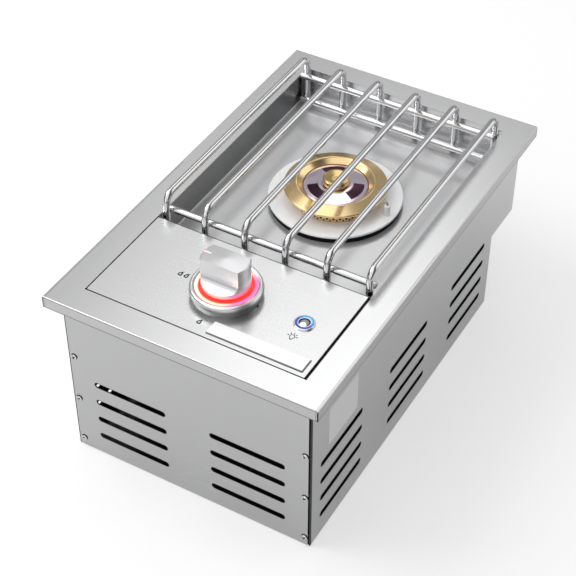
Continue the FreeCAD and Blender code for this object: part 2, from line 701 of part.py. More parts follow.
def make_panel_support(label, side):
    """Folded strip that hangs from the rim and carries one side of the control panel."""
    piece = Piece(label)
    thick = g.case_sheet
    wall = open_half
    ledge = top - g.panel_fold
    section = piece.draw("XZ", panel_front + g.case_fold / 4)
    points = [(wall, fold_level), (wall, ledge), (wall - g.support_ledge, ledge),
              (wall - g.support_ledge, ledge - thick), (wall + thick, ledge - thick),
              (wall + thick, fold_level), (wall + g.tray_flange, fold_level),
              (wall + g.tray_flange, rim_under), (wall, rim_under)]
    section.outline([(x * side, z) for x, z in points])
    return piece.pad(section, g.panel_deep - g.case_fold / 2)


bar_level = top + g.bar_top - g.bar_radius
bar_front = tray_front + g.front_leg_gap
bar_back = open_back - g.back_leg_gap
bar_reach = open_half - g.bar_side_gap
bar_xs = [bar_reach * (2 * i / (BARS - 1) - 1) for i in range(BARS)]


def make_grate_bar(label, x):
    """Round bar bent down at both ends into legs that stand on the tray."""
    piece = Piece(label, x=x)
    path = piece.draw("YZ").outline(
        [(bar_front, tray_floor), (bar_front, bar_level, g.bar_bend),
         (bar_back, bar_level, g.bar_bend), (bar_back, tray_floor)], closed=False)
    section = piece.draw("XY", tray_floor).circle(0, bar_front, g.bar_radius)
    return piece.sweep(section, path)


def make_cross_rod(label, y, level):
    """Straight round rod welded to all the legs of one row."""
    piece = Piece(label, y=y, z=level)
    reach = bar_xs[-1] + g.rod_overhang
    piece.pad(piece.draw("YZ", -reach).circle(0, 0, g.bar_radius), reach * 2)
    piece.round_edges(g.bar_radius * 0.3, lambda p: near(abs(p.x), reach))
    return piece


def make_burner_bowl():
    """Cast bowl: gas channel, well with a centre post, three ears and a tube socket."""
    piece = Piece("burner_bowl", y=burner_y, z=top)
    outer, inner = g.bowl_radius, g.bowl_radius - g.bowl_wall
    seat = -g.disc_deep - g.disc_sheet
    floor = g.bowl_floor - g.bowl_bottom
    well_outer = well_radius + g.well_wall
    ledge_bore = well_radius - g.well_wall * 0.6
    ear_low = -g.tray_deep - g.tray_sheet - g.ear_thick
    section = piece.draw("XZ").outline([
        (0, -g.bowl_bottom), (outer, -g.bowl_bottom, g.bowl_wall), (outer, seat),
        (spigot_radius, seat), (spigot_radius, g.spigot_rise - g.disc_deep),
        (inner, g.spigot_rise - g.disc_deep), (inner, floor), (well_outer, floor),
        (well_outer, -g.well_top), (well_radius, -g.well_top), (well_radius, -g.ledge_deep),
        (ledge_bore, -g.ledge_deep), (ledge_bore, -g.well_deep), (g.post_radius, -g.well_deep),
        (g.post_radius, -g.post_top), (g.post_bore, -g.post_top), (g.post_bore, floor), (0, floor)])
    piece.revolve(section)
    boss = piece.draw("XZ", -outer - g.socket_long)
    boss.circle(0, -g.outlet_drop, g.socket_radius)
    piece.pad(boss, g.socket_long + g.bowl_wall)
    bore = piece.draw("XZ", -outer - g.socket_long)
    bore.circle(0, -g.outlet_drop, g.throat_radius + g.fit_gap)
    piece.pocket(bore, g.socket_long + g.bowl_wall * 1.6)
    for angle in BOWL_EARS:
        ear = piece.draw("XY", ear_low)
        ear.bar_at(angle, outer - g.bowl_wall / 2, bowl_screw_circle + g.ear_reach, g.ear_wide)
        piece.pad(ear, g.ear_thick)
    holes = piece.draw("XY", ear_low)
    for x, y in bowl_screw_places:
        holes.circle(x, y - burner_y, g.screw_radius + g.fit_gap)
    return piece.pocket(holes, g.ear_thick)


def make_burner_disc():
    """Bright drip disc with a turned down edge."""
    piece = Piece("burner_disc", y=burner_y, z=top)
    bore = spigot_radius + g.easy_gap
    high, low = -g.disc_deep, -g.disc_deep - g.disc_sheet
    section = piece.draw("XZ").outline([
        (bore, low), (disc_radius - g.disc_sheet, low),
        (disc_radius - g.disc_sheet, high - g.disc_edge), (disc_radius, high - g.disc_edge),
        (disc_radius, high, g.disc_sheet), (bore, high)])
    piece.revolve(section)
    hole = piece.draw("XY", low)
    hole.circle(electrode_offset, electrode_place[1] - burner_y,
                g.ceramic_radius + g.easy_gap)
    return piece.pocket(hole, g.disc_sheet)


def make_disc_ring():
    """Dark spacer ring that holds the disc off the tray."""
    piece = Piece("disc_spacer_ring", y=burner_y, z=tray_floor)
    outer = disc_radius - g.disc_sheet - g.easy_gap
    height = g.tray_deep - g.disc_deep - g.disc_sheet
    ring = piece.draw("XY").circle(0, 0, outer).circle(0, 0, outer - g.disc_edge)
    return piece.pad(ring, height)


def make_outer_flame_ring():
    """Brass ring: skirt with two rows of flame ports, overhanging lip, crest and inner slope."""
    piece = Piece("outer_flame_ring", y=burner_y, z=top)
    skirt_low = -g.disc_deep + g.fit_gap
    skirt_top = skirt_low + g.ring_skirt_high
    lip_low = skirt_top + g.ring_undercut
    seat = -g.well_top + g.fit_gap
    crest = (ring_bore + skirt_bore) / 2 + g.ring_crest_shift
    wall = g.ring_wall
    piece.revolve(piece.draw("XZ").outline([
        (skirt_bore, skirt_low), (skirt_radius, skirt_low), (skirt_radius, skirt_top),
        (ring_radius, lip_low, wall / 4), (ring_radius, lip_low + g.ring_lip, wall / 2),
        (crest, -g.ring_top, wall), (ring_bore, -g.ring_inner_deep, wall / 4), (ring_bore, seat),
        (ring_bore + wall, seat), (crest, -g.ring_top - wall * 1.4),
        (skirt_bore, -g.ring_top - wall * 2)]))
    inner, outer = skirt_bore - wall, ring_radius + wall
    rows = ((0, g.port_rise, g.port_width, g.port_height),
            (0.5, g.small_port_rise, g.small_port_width, g.small_port_height))
    for shift, rise, width, height in rows:
        ports = piece.draw("XY", skirt_low + rise)
        for port in range(PORTS_DRAWN):
            ports.bar_at(FULL_TURN * (port + shift) / FLAME_PORTS, inner, outer, width)
        piece.pocket(ports, height)
        piece.around(FLAME_PORTS // PORTS_DRAWN)
    return piece


def make_burner_spider():
    """Bright insert in the well: a low dome with three windows round a cup for the cap."""
    piece = Piece("well_spider", y=burner_y, z=top)
    thick = g.spider_sheet
    rim = well_radius - g.easy_gap
    bore = g.post_radius + g.easy_gap
    lip = g.spider_cup + thick
    cup_floor = -g.post_top - g.spider_cup_drop
    rim_top, crown = -g.spider_rim_deep, -g.spider_crown_deep
    piece.revolve(piece.draw("XZ").outline([
        (bore, cup_floor - thick), (lip, cup_floor - thick), (lip, crown - thick * 1.2),
        (rim - thick, rim_top - thick), (rim - thick, -g.ledge_deep), (rim, -g.ledge_deep),
        (rim, rim_top, thick / 2), (lip, crown, thick / 3), (g.spider_cup, crown - thick / 3),
        (g.spider_cup, cup_floor), (bore, cup_floor)]))
    windows = piece.draw("XY", rim_top - thick * 1.5)
    for spoke in range(SPOKES):
        windows.sector(g.window_inner, window_outer, FULL_TURN * spoke / SPOKES, g.window_half_angle)
    return piece.pocket(windows, crown - rim_top + thick * 2)


def make_centre_cap():
    """Small brass cap with a dished top and pilot holes round its wall."""
    piece = Piece("centre_cap", y=burner_y, z=top)
    low = -g.post_top + g.fit_gap
    spigot = g.post_bore - g.easy_gap
    rim = g.cap_radius - g.cap_chamfer
    piece.revolve(piece.draw("XZ").outline([
        (0, low - g.bowl_wall), (spigot, low - g.bowl_wall), (spigot, low), (g.cap_radius, low),
        (g.cap_radius, -g.cap_top - g.cap_chamfer), (rim, -g.cap_top), (rim - g.cap_rim, -g.cap_top),
        (spigot, -g.cap_top - g.cap_dish, g.cap_dish), (0, -g.cap_top - g.cap_dish)]))
    hole = piece.draw("XY", -g.cap_top - g.cap_hole_drop - g.cap_hole)
    hole.bar_at(0, g.cap_radius - g.cap_hole_deep, g.cap_radius + g.cap_hole_deep, g.cap_hole)
    piece.pocket(hole, g.cap_hole)
    return piece.around(CAP_HOLES)


def make_electrode():
    """Ceramic sleeve with a collar, and the spark rod bent towards the flame ring."""
    x, y = electrode_place
    ceramic = Piece("electrode_ceramic", x=x, y=y, z=top)
    low = -g.ceramic_top - g.ceramic_long
    under = -g.tray_deep - g.tray_sheet
    ceramic.revolve(ceramic.draw("XZ").outline([
        (g.spark_rod_radius + g.fit_gap, low), (g.ceramic_radius, low),
        (g.ceramic_radius, under - g.ear_thick), (g.ceramic_collar, under - g.ear_thick),
        (g.ceramic_collar, under), (g.ceramic_radius, under), (g.ceramic_radius, -g.ceramic_top, 1),
        (g.spark_rod_radius + g.fit_gap, -g.ceramic_top)]))
    rod = Piece("spark_rod", x=x, y=y, z=top)
    tip = g.ceramic_top - g.spark_rise
    path = rod.draw("XZ").outline([
        (0, low - g.spark_rise), (0, -tip, g.spark_rod_radius * 1.8),
        (-g.spark_reach, -tip)], closed=False)
    section = rod.draw("XY", low - g.spark_rise).circle(0, 0, g.spark_rod_radius)
    rod.sweep(section, path)
    return ceramic, rod


# Heights in the valve, below the flange's top
chamber_top = g.cover_high - g.valve_from_top - g.cover_wall
shoulder_top = chamber_top - g.easy_gap / 2
collar_top = shoulder_top - g.shoulder_thick
collar_low = collar_top - g.collar_thick
stem_foot = g.push_travel - g.valve_from_top
tang_low = stem_foot - g.tang_long
plug_top = -g.valve_from_top - g.plug_drop
stem_hole = g.stem_radius + g.easy_gap
cover_flange_top = g.cover_wall - g.valve_from_top
bracket_top = cover_flange_top + g.bracket_sheet


def make_knob():
    """Hollow knob: round skirt, flat-sided grip that sweeps out to it, hub with a D bore."""
    piece = Piece("burner_knob", y=knob_y, z=top)
    bottom, high, radius = g.knob_bottom, g.knob_top, g.knob_radius
    piece.revolve(piece.draw("XZ").outline([
        (0, bottom), (radius, bottom, g.knob_edge), (radius, high - g.knob_edge, g.knob_edge),
        (0, high)]))
    shoulder = bottom + g.knob_skirt
    half_grip = g.grip_thick / 2
    outside = radius + g.knob_edge
    for side in (-1, 1):
        cut = piece.draw("YZ", -outside)
        cut.outline([
            (half_grip * side, high + g.knob_edge * 2), (outside * side, high + g.knob_edge * 2),
            (outside * side, shoulder), (half_grip * side, shoulder + g.grip_sweep / 3, g.grip_sweep)])
        piece.pocket(cut, outside * 2)
    hollow = piece.draw("XY", bottom)
    hollow.circle(0, 0, radius - g.knob_wall).circle(0, 0, g.hub_radius)
    piece.pocket(hollow, g.knob_skirt - g.knob_wall)
    core = piece.draw("XY", bottom)
    inner_long = radius - g.knob_wall * 2.4
    inner_half = half_grip - g.knob_wall
    core.rectangle(-inner_long, inner_long, -inner_half, inner_half, g.knob_wall)
    core.circle(0, 0, g.hub_radius)
    piece.pocket(core, high - bottom - g.knob_wall * 2)
    bore = piece.draw("XY", bottom)
    bore.d_shape(0, 0, g.stem_radius + g.fit_gap, g.stem_flat + g.fit_gap)
    piece.pocket(bore, g.stem_top - bottom + g.easy_gap)
    groove = piece.draw("XY", high - g.knob_edge - g.pointer_deep)
    groove.rectangle(-outside, g.pointer_long - radius, -g.pointer_width / 2, g.pointer_width / 2)
    return piece.pocket(groove, g.pointer_deep + g.knob_edge * 2)


def make_knob_bezel():
    """Raised rounded ring round the knob, screwed on from below."""
    piece = Piece("knob_bezel", y=knob_y, z=top)
    piece.revolve(piece.draw("XZ").outline([
        (g.bezel_bore, 0), (g.bezel_radius - g.bezel_foot, 0),
        (g.bezel_radius, g.bezel_waist, g.bezel_belly),
        (g.bezel_radius - g.bezel_lean, g.bezel_height, g.bezel_crest),
        (g.bezel_bore, g.bezel_height - g.bezel_dip, g.bezel_crest / 3)]))
    holes = piece.draw("XY")
    for side in (-1, 1):
        holes.circle(g.bezel_screw_circle * side, 0, g.screw_radius + g.fit_gap)
    return piece.pocket(holes, g.screw_long)


def make_knob_light_ring():
    """Clear light guide between the bezel and the knob."""
    piece = Piece("knob_light_ring", y=knob_y, z=top)
    high, outer = g.light_ring_height, g.bezel_bore - g.fit_gap
    return piece.revolve(piece.draw("XZ").outline([
        (g.light_ring_bore, 0), (outer, 0), (outer, high, g.light_ring_round),
        (g.light_ring_bore, high, g.light_ring_round)]))


def make_valve_bracket():
    """Folded hat section that hangs the valve under the control panel."""
    piece = Piece("valve_bracket", y=knob_y, z=top)
    thick = g.bracket_sheet
    under = -g.frame_sheet
    leg, foot = g.bracket_leg, g.bracket_leg + g.bracket_foot
    half_long = g.bracket_long / 2
    section = piece.draw("XZ", -half_long).outline([
        (-foot, under), (thick - leg, under), (thick - leg, bracket_top), (leg - thick, bracket_top),
        (leg - thick, under), (foot, under), (foot, under - thick), (leg, under - thick),
        (leg, cover_flange_top), (-leg, cover_flange_top), (-leg, under - thick),
        (-foot, under - thick)])
    piece.pad(section, g.bracket_long)
    middle = piece.draw("XY", cover_flange_top)
    middle.circle(0, 0, g.cover_radius + g.easy_gap)
    for side in (-1, 1):
        middle.circle(g.valve_screw_x * side, 0, g.screw_hole_radius)
    piece.pocket(middle, thick)
    feet = piece.draw("XY", under - thick)
    for side in (-1, 1):
        feet.circle(g.bezel_screw_circle * side, 0, g.screw_hole_radius)
    return piece.pocket(feet, thick)


def plug_outline(gap):
    """Half section of the tapered plug, or of its seat with a gap added."""
    foot = plug_top - g.plug_long - gap
    return [(0, foot), (g.plug_radius - g.plug_taper + gap, foot), (g.plug_radius + gap, plug_top),
            (0, plug_top)]


def make_valve_body():
    """Brass valve: tapered seat for the plug, inlet at the left, outlet at the rear."""
    piece = Piece("valve_body", y=knob_y, z=top)
    high = -g.valve_from_top
    piece.revolve(piece.draw("XZ").outline([
        (0, high - g.valve_long), (g.valve_radius, high - g.valve_long, g.spigot_wall),
        (g.valve_radius, high), (0, high)]))
    flange = piece.draw("XY", high - g.valve_flange_thick)
    flange.rectangle(-g.valve_flange, g.valve_flange, -g.valve_flange_half, g.valve_flange_half,
                     g.valve_flange_thick)
    piece.pad(flange, g.valve_flange_thick)
    piece.pad(piece.draw("YZ", -g.inlet_long).circle(0, -g.inlet_drop, g.inlet_radius), g.inlet_long)
    piece.pad(piece.draw("XZ").circle(0, -g.outlet_drop, g.outlet_radius), g.outlet_long)
    seat = plug_outline(g.fit_gap)
    seat[2:] = [(g.plug_radius + g.fit_gap, high), (0, high)]
    piece.groove(piece.draw("XZ").outline(seat))
    inlet = piece.draw("YZ", -g.inlet_long).circle(0, -g.inlet_drop, g.port_bore)
    piece.pocket(inlet, g.inlet_long)
    outlet = piece.draw("XZ").circle(0, -g.outlet_drop, g.port_bore)
    piece.pocket(outlet, g.outlet_long)
    holes = piece.draw("XY", high - g.valve_flange_thick)
    for side in (-1, 1):
        holes.circle(g.valve_screw_x * side, 0, g.screw_radius + g.fit_gap)
    return piece.pocket(holes, g.valve_flange_thick)


def make_valve_cover():
    """Cap over the valve that holds the spring and guides the stem."""
    piece = Piece("valve_cover", y=knob_y, z=top)
    high = g.cover_high - g.valve_from_top
    low = -g.valve_from_top
    plate = piece.draw("XY", low)
    plate.rectangle(-g.valve_flange, g.valve_flange, -g.valve_flange_half, g.valve_flange_half,
                    g.valve_flange_thick)
    piece.pad(plate, g.cover_wall)
    piece.revolve(piece.draw("XZ").outline([
        (0, low), (g.cover_radius, low), (g.cover_radius, high, g.cover_wall), (0, high)]))
    piece.pocket(piece.draw("XY", low).circle(0, 0, g.cover_chamber), chamber_top - low)
    piece.pocket(piece.draw("XY", chamber_top).circle(0, 0, stem_hole), g.cover_wall)
    holes = piece.draw("XY", low)
    for side in (-1, 1):
        holes.circle(g.valve_screw_x * side, 0, g.screw_hole_radius)
    return piece.pocket(holes, g.cover_wall)


def make_stem_collar():
    """Thrust washer between the stem's shoulder and the return spring."""
    piece = Piece("stem_collar", y=knob_y, z=top)
    ring = piece.draw("XY", collar_low).circle(0, 0, g.collar_radius).circle(0, 0, stem_hole)
    return piece.pad(ring, g.collar_thick)


def make_valve_stem():
    """Stem with a flat for the knob, a shoulder and a tang that turns the plug."""
    piece = Piece("valve_stem", y=knob_y, z=top)
    piece.revolve(piece.draw("XZ").outline([
        (0, stem_foot), (g.stem_radius, stem_foot), (g.stem_radius, collar_top),
        (g.shoulder_radius, collar_top), (g.shoulder_radius, shoulder_top),
        (g.stem_radius, shoulder_top), (g.stem_radius, g.stem_top, g.stem_radius / 8),
        (0, g.stem_top)]))
    tang = piece.draw("XY", tang_low)
    tang.rectangle(-g.tang_wide / 2, g.tang_wide / 2, -g.tang_thick / 2, g.tang_thick / 2)
    piece.pad(tang, g.tang_long)
    flat = piece.draw("XY", g.knob_bottom)
    flat.rectangle(g.stem_flat, g.stem_radius * 2, -g.stem_radius * 2, g.stem_radius * 2)
    return piece.pocket(flat, g.stem_top - g.knob_bottom)


def make_valve_plug():
    """Tapered plug with a slot for the tang and an angled gas way."""
    piece = Piece("valve_plug", y=knob_y, z=top)
    piece.revolve(piece.draw("XZ").outline(plug_outline(0)))
    slot_low = tang_low - g.push_travel - g.easy_gap
    half_wide, half_thick = g.tang_wide / 2 + g.easy_gap, g.tang_thick / 2 + g.easy_gap
    slot = piece.draw("XY", slot_low).rectangle(-half_wide, half_wide, -half_thick, half_thick)
    piece.pocket(slot, plug_top - slot_low)
    piece.pocket(piece.draw("YZ", -g.plug_radius).circle(0, -g.inlet_drop, g.port_bore), g.plug_radius)
    piece.pocket(piece.draw("XZ").circle(0, -g.outlet_drop, g.port_bore), g.plug_radius)
    middle = piece.draw("XY", -g.outlet_drop).circle(0, 0, g.port_bore)
    return piece.pocket(middle, g.outlet_drop - g.inlet_drop)


def make_gas_jet():
    """Jet that screws to the valve's outlet and sprays into the mixing tube."""
    piece = Piece("gas_jet", y=knob_y + g.outlet_long, z=top - g.outlet_drop)
    head = piece.draw("XZ").hexagon(0, 0, g.jet_head_radius)
    piece.pad(head, g.jet_head_long)
    nose = piece.draw("XZ", g.jet_head_long).circle(0, 0, g.jet_radius)
    piece.pad(nose, g.jet_long - g.jet_head_long)
    return piece.pocket(piece.draw("XZ").circle(0, 0, g.jet_bore), g.jet_long)


def make_mixing_tube():
    """Venturi: closed mouth round the jet with air windows, cone and straight tube."""
    piece = Piece("mixing_tube", y=knob_y, z=top - g.outlet_drop)
    wall = g.tube_wall
    start, stop = g.mouth_start, g.mouth_start + g.mouth_long
    narrow = stop + g.cone_long
    end = burner_y - knob_y - g.bowl_radius - g.socket_long + g.tube_insert
    piece.revolve(piece.draw("YZ").outline([
        (start, g.jet_radius + g.fit_gap), (start, g.mouth_radius), (stop, g.mouth_radius),
        (narrow, g.throat_radius), (end, g.throat_radius), (end, g.throat_radius - wall),
        (narrow, g.throat_radius - wall), (stop, g.mouth_radius - wall),
        (start + wall, g.mouth_radius - wall), (start + wall, g.jet_radius + g.fit_gap)]), "H_Axis")
    air_windows(piece, g.mouth_radius - wall * 2, g.mouth_radius + wall)
    return piece


def air_windows(piece, inner, outer):
    """Two openings, left and right, through the mouth or its shutter."""
    windows = piece.draw("XZ", g.mouth_start + (g.mouth_long - g.air_window_long) / 2)
    for angle in (0, 180):
        windows.sector(inner, outer, angle, g.air_window_half_angle)
    piece.pocket(windows, g.air_window_long)


def make_air_shutter():
    """Sleeve that turns on the mouth to set how much air gets in."""
    piece = Piece("air_shutter", y=knob_y, z=top - g.outlet_drop)
    inner = g.mouth_radius + g.shutter_gap
    outer = inner + g.shutter_wall
    ring = piece.draw("XZ", g.mouth_start + (g.mouth_long - g.shutter_long) / 2)
    ring.circle(0, 0, outer).circle(0, 0, inner)
    piece.pad(ring, g.shutter_long)
    air_windows(piece, g.mouth_radius - g.tube_wall, outer + g.tube_wall)
    return piece


def make_pipe_nut(label, side):
    """Hexagon nut round one end of the gas pipe."""
    if side == "valve":
        piece = Piece(label, x=-g.inlet_long - g.nut_long, y=knob_y, z=top - g.inlet_drop)
        nut = piece.draw("YZ")
    else:
        piece = Piece(label, x=-pipe_x, z=g.inlet_height,
                      y=low_back - g.case_sheet - g.fitting_flange_long - g.nut_long)
        nut = piece.draw("XZ")
    nut.hexagon(0, 0, g.nut_radius).circle(0, 0, g.pipe_radius + g.fit_gap)
    return piece.pad(nut, g.nut_long)


def make_gas_inlet():
    """Flare fitting through the rear wall, and the locknut that holds it."""
    bulkhead_end = g.locknut_long + g.case_sheet
    fitting = Piece("gas_inlet_fitting", x=-pipe_x, y=low_back, z=g.inlet_height)
    fitting.revolve(fitting.draw("YZ").outline([
        (-g.case_sheet - g.fitting_flange_long, g.pipe_bore),
        (-g.case_sheet - g.fitting_flange_long, g.fitting_flange),
        (-g.case_sheet, g.fitting_flange), (-g.case_sheet, g.bulkhead_radius),
        (bulkhead_end, g.bulkhead_radius), (bulkhead_end, g.thread_radius),
        (g.thread_long, g.thread_radius), (g.thread_long + g.thread_cone, g.pipe_radius),
        (g.thread_long + g.thread_cone, g.pipe_bore)]), "H_Axis")
    locknut = Piece("inlet_locknut", x=-pipe_x, y=low_back, z=g.inlet_height)
    ring = locknut.draw("XZ").hexagon(0, 0, g.locknut_radius)
    ring.circle(0, 0, g.bulkhead_radius + g.fit_gap)
    locknut.pad(ring, g.locknut_long)
    return fitting, locknut


def make_light_switch():
    """Push switch: bezelled barrel, lit ring, button and the nut under the panel."""
    body = Piece("light_switch_body", x=switch_x, y=switch_y, z=top)
    high = g.switch_bezel_high
    bore = g.button_radius + g.button_gap
    button_low = g.button_proud - g.button_long
    bore_low = button_low - g.button_travel - g.button_gap
    ring_low = high - g.switch_ring_deep
    body.revolve(body.draw("XZ").outline([
        (0, -g.switch_long), (g.switch_barrel, -g.switch_long), (g.switch_barrel, 0),
        (g.switch_bezel, 0), (g.switch_bezel, high, g.switch_edge), (g.switch_ring_outer, high),
        (g.switch_ring_outer, ring_low), (g.switch_ring_inner, ring_low),
        (g.switch_ring_inner, high), (bore, high), (bore, bore_low), (0, bore_low)]))
    ring = Piece("switch_light_ring", x=switch_x, y=switch_y, z=top)
    section = ring.draw("XY", ring_low).circle(0, 0, g.switch_ring_outer - g.fit_gap)
    section.circle(0, 0, g.switch_ring_inner + g.fit_gap)
    ring.pad(section, g.switch_ring_deep)
    button = Piece("light_button", x=switch_x, y=switch_y, z=top)
    button.revolve(button.draw("XZ").outline([
        (0, button_low), (g.button_radius, button_low),
        (g.button_radius, g.button_proud, g.button_radius / 3), (0, g.button_proud)]))
    nut = Piece("switch_nut", x=switch_x, y=switch_y, z=top - g.frame_sheet - g.switch_nut_thick)
    hexagon = nut.draw("XY").hexagon(0, 0, g.switch_nut)
    hexagon.circle(0, 0, g.switch_barrel + g.fit_gap)
    nut.pad(hexagon, g.switch_nut_thick)
    return body, ring, button, nut


box_y = front + g.box_from_front
box_floor = g.case_sheet


def make_battery_box():
    """Open box on the base for the igniter and its cells, with a lid."""
    box = Piece("battery_box", x=box_x, y=box_y, z=box_floor)
    half_x, half_y = g.box_wide / 2, g.box_deep / 2
    high = g.box_high - g.lid_thick
    box.pad(box.draw("XY").rectangle(-half_x, half_x, -half_y, half_y, g.box_wall * 2), high)
    inside = box.draw("XY", g.box_wall)
    inside.rectangle(g.box_wall - half_x, half_x - g.box_wall, g.box_wall - half_y,
                     half_y - g.box_wall, g.box_wall)
    box.pocket(inside, high)
    lid = Piece("battery_box_lid", x=box_x, y=box_y, z=box_floor + high)
    lid.pad(lid.draw("XY").rectangle(-half_x, half_x, -half_y, half_y, g.box_wall * 2), g.lid_thick)
    return box, lid


class Solid:
    """A sub-part whose shape is worked out here from the sheet's values."""

    def __init__(self, label, shape):
        self.feature = document.addObject("Part::Feature", label)
        self.feature.Label = label
        self.feature.Shape = shape


def tube_along(points, radius, bend=None, bore=0):
    """Round tube along straight runs joined by arcs, as large as the runs allow."""
    edges = []
    start = points[0]
    radii = []
    for before, here, after in zip(points, points[1:], points[2:]):
        along_in, along_out = (before - here).normalize(), (after - here).normalize()
        half_angle = along_in.getAngle(along_out) / 2
        shorter = min((before - here).Length, (after - here).Length)
        turn = bend or 0.45 * shorter * math.tan(half_angle)
        reach = turn / math.tan(half_angle)
        middle = (along_in + along_out).normalize()
        centre = here + middle * (turn / math.sin(half_angle))
        first, last = here + along_in * reach, here + along_out * reach
        edges.append(Part.LineSegment(start, first).toShape())
        edges.append(Part.Arc(first, centre - middle * turn, last).toShape())
        start = last
        radii.append(turn)
    edges.append(Part.LineSegment(start, points[-1]).toShape())
    path = Part.Wire(edges)
    solids = []
    for size in (radius, bore):
        if size:
            circle = Part.Circle(points[0], points[1] - points[0], size)
            profile = Part.Wire([circle.toShape()])
            solids.append(path.makePipeShell([profile], True, False))
    print("tube", round(path.Length, 1), "long, bends", [round(r, 1) for r in radii])
    return solids[0].cut(solids[1]) if bore else solids[0]


def make_gas_pipe():
    """Steel pipe from the rear inlet, along the left side and up to the valve."""
    level = top - g.inlet_drop
    end = low_back - g.case_sheet - g.fitting_flange_long
    points = [vector(-g.inlet_long, knob_y, level), vector(-pipe_x, knob_y, level),
              vector(-pipe_x, knob_y, g.inlet_height), vector(-pipe_x, end, g.inlet_height)]
    shape = tube_along(points, g.pipe_radius.number, g.pipe_bend.number, g.pipe_bore.number)
    return Solid("gas_pipe", shape)


def make_leads():
    """Insulated leads from the battery box to the electrode, the switch and the knob's light.

    A route's first two and last two points follow what the lead meets, and those between are
    where it lies: on the base, or hanging from its upper end.
    """
    exit_y = box_y + g.box_deep / 2
    out_y = exit_y + g.lead_straight
    exit_z = box_floor + g.lead_radius * 2
    electrode_low = top - g.ceramic_top - g.ceramic_long - g.spark_rise
    electrode_x, electrode_y = electrode_place
    switch_low = top - g.switch_long
    reach = light_lead_reach
    inner_x = box_x - g.box_wide / 4
    routes = {
        "igniter_lead": [
            (electrode_x, exit_y, exit_z), (electrode_x, out_y, exit_z),
            (72, -104, 2.9), (82, -58, 2.7), (87, -10, 2.7), (82, 32, 6), (73, 52, 34),
            (67, 61, 76), (64, 66, 116),
            (electrode_x, electrode_y, electrode_low - g.lead_straight),
            (electrode_x, electrode_y, electrode_low)],
        "switch_lead": [
            (switch_x, exit_y, exit_z), (switch_x, out_y, exit_z),
            (93, -122, 14), (96, -112, 42), (97, -113, 84), (95, -126, 124), (92, -146, 154),
            (switch_x, switch_y, switch_low - g.lead_straight), (switch_x, switch_y, switch_low)],
        "knob_light_lead": [
            (reach, knob_y + reach, top), (reach, knob_y + reach, top - g.lead_straight),
            (28, -134, 178), (38, -124, 144), (50, -115, 102), (59, -113, 60), (63, -118, 26),
            (inner_x, out_y, exit_z), (inner_x, exit_y, exit_z)],
    }
    return [Solid(label, tube_along([vector(*p) for p in points], g.lead_radius.number))
            for label, points in routes.items()]


def arc_touching(corner, start, end):
    """Arc from start to end whose end tangents both pass through the corner."""
    middle = (start + end) / 2
    reach, rise = (start - corner).Length, (middle - corner).Length
    radius = reach * (end - start).Length / 2 / rise
    return Part.Arc(start, corner + (middle - corner) / rise * (reach ** 2 / rise - radius), end)


def helix_arcs(radius, low, high, turns, parts=2):
    """A helix as pairs of tangent arcs, a pair for each half turn."""
    climb = (high - low) / (2 * math.pi * turns)
    points, tangents = [], []
    for step in range(turns * parts + 1):
        angle = 2 * math.pi * step / parts
        across, up = math.cos(angle), math.sin(angle)
        points.append(FreeCAD.Vector(radius * across, radius * up, low + climb * angle))
        tangents.append(FreeCAD.Vector(-radius * up, radius * across, climb).normalize())
    edges = []
    for (start, end), (leave, arrive) in zip(zip(points, points[1:]), zip(tangents, tangents[1:])):
        chord, both = end - start, leave + arrive
        square, line = 2 * (1 - leave.dot(arrive)), 2 * chord.dot(both)
        reach = (math.sqrt(line ** 2 + 4 * square * chord.dot(chord)) - line) / (2 * square)
        first, second = start + leave * reach, end - arrive * reach
        joint = (first + second) / 2
        edges += [arc_touching(first, start, joint).toShape(),
                  arc_touching(second, joint, end).toShape()]
    return edges, tangents[0]


def make_stem_spring():
    """Wound return spring between the plug and the collar."""
    wire, radius = g.spring_wire.number, g.spring_radius.number
    low = (top + plug_top).number + wire
    high = (top + collar_low).number - wire
    edges, heading = helix_arcs(radius, low, high, SPRING_TURNS)
    start = edges[0].Vertexes[0].Point
    profile = Part.Wire([Part.Circle(start, heading, wire).toShape()])
    coil = Part.Wire(edges).makePipeShell([profile], True, False)
    coil.translate(vector(0, knob_y, 0))
    print("spring gap between turns", round((high - low) / SPRING_TURNS - wire * 2, 2))
    return Solid("stem_spring", coil)


def make_battery_cells():
    """Two cells side by side in the box."""
    cells = []
    for side in (-1, 1):
        base = vector(box_x - g.cell_long / 2, box_y + g.cell_pitch / 2 * side,
                      box_floor + g.box_wall + g.cell_radius)
        cells.append(Part.makeCylinder(g.cell_radius.number, g.cell_long.number, base,
                                       FreeCAD.Vector(1, 0, 0)))
    return Solid("battery_cells", Part.makeCompound(cells))


def pan_screw():
    """Domed screw along +Z with the head's seat at the origin."""
    head = Part.makeCylinder(g.screw_head_radius.number, g.screw_head_height.number)
    rim = [edge for edge in head.Edges if all(v.Point.z > 0.1 for v in edge.Vertexes)]
    head = head.makeFillet(g.screw_head_height.number * 0.7, rim)
    shank = Part.makeCylinder(g.screw_radius.number, g.screw_long.number,
                              FreeCAD.Vector(0, 0, -g.screw_long.number))
    return head.fuse(shank).removeSplitter()


def make_screws(label, places):
    """Alike screws at (place, direction that the head faces)."""
    master = pan_screw()
    copies = []
    for place, facing in places:
        screw = master.copy()
        turn = FreeCAD.Rotation(FreeCAD.Vector(0, 0, 1), FreeCAD.Vector(*facing))
        screw.Placement = FreeCAD.Placement(vector(*place), turn)
        copies.append(screw)
    return Solid(label, Part.makeCompound(copies))


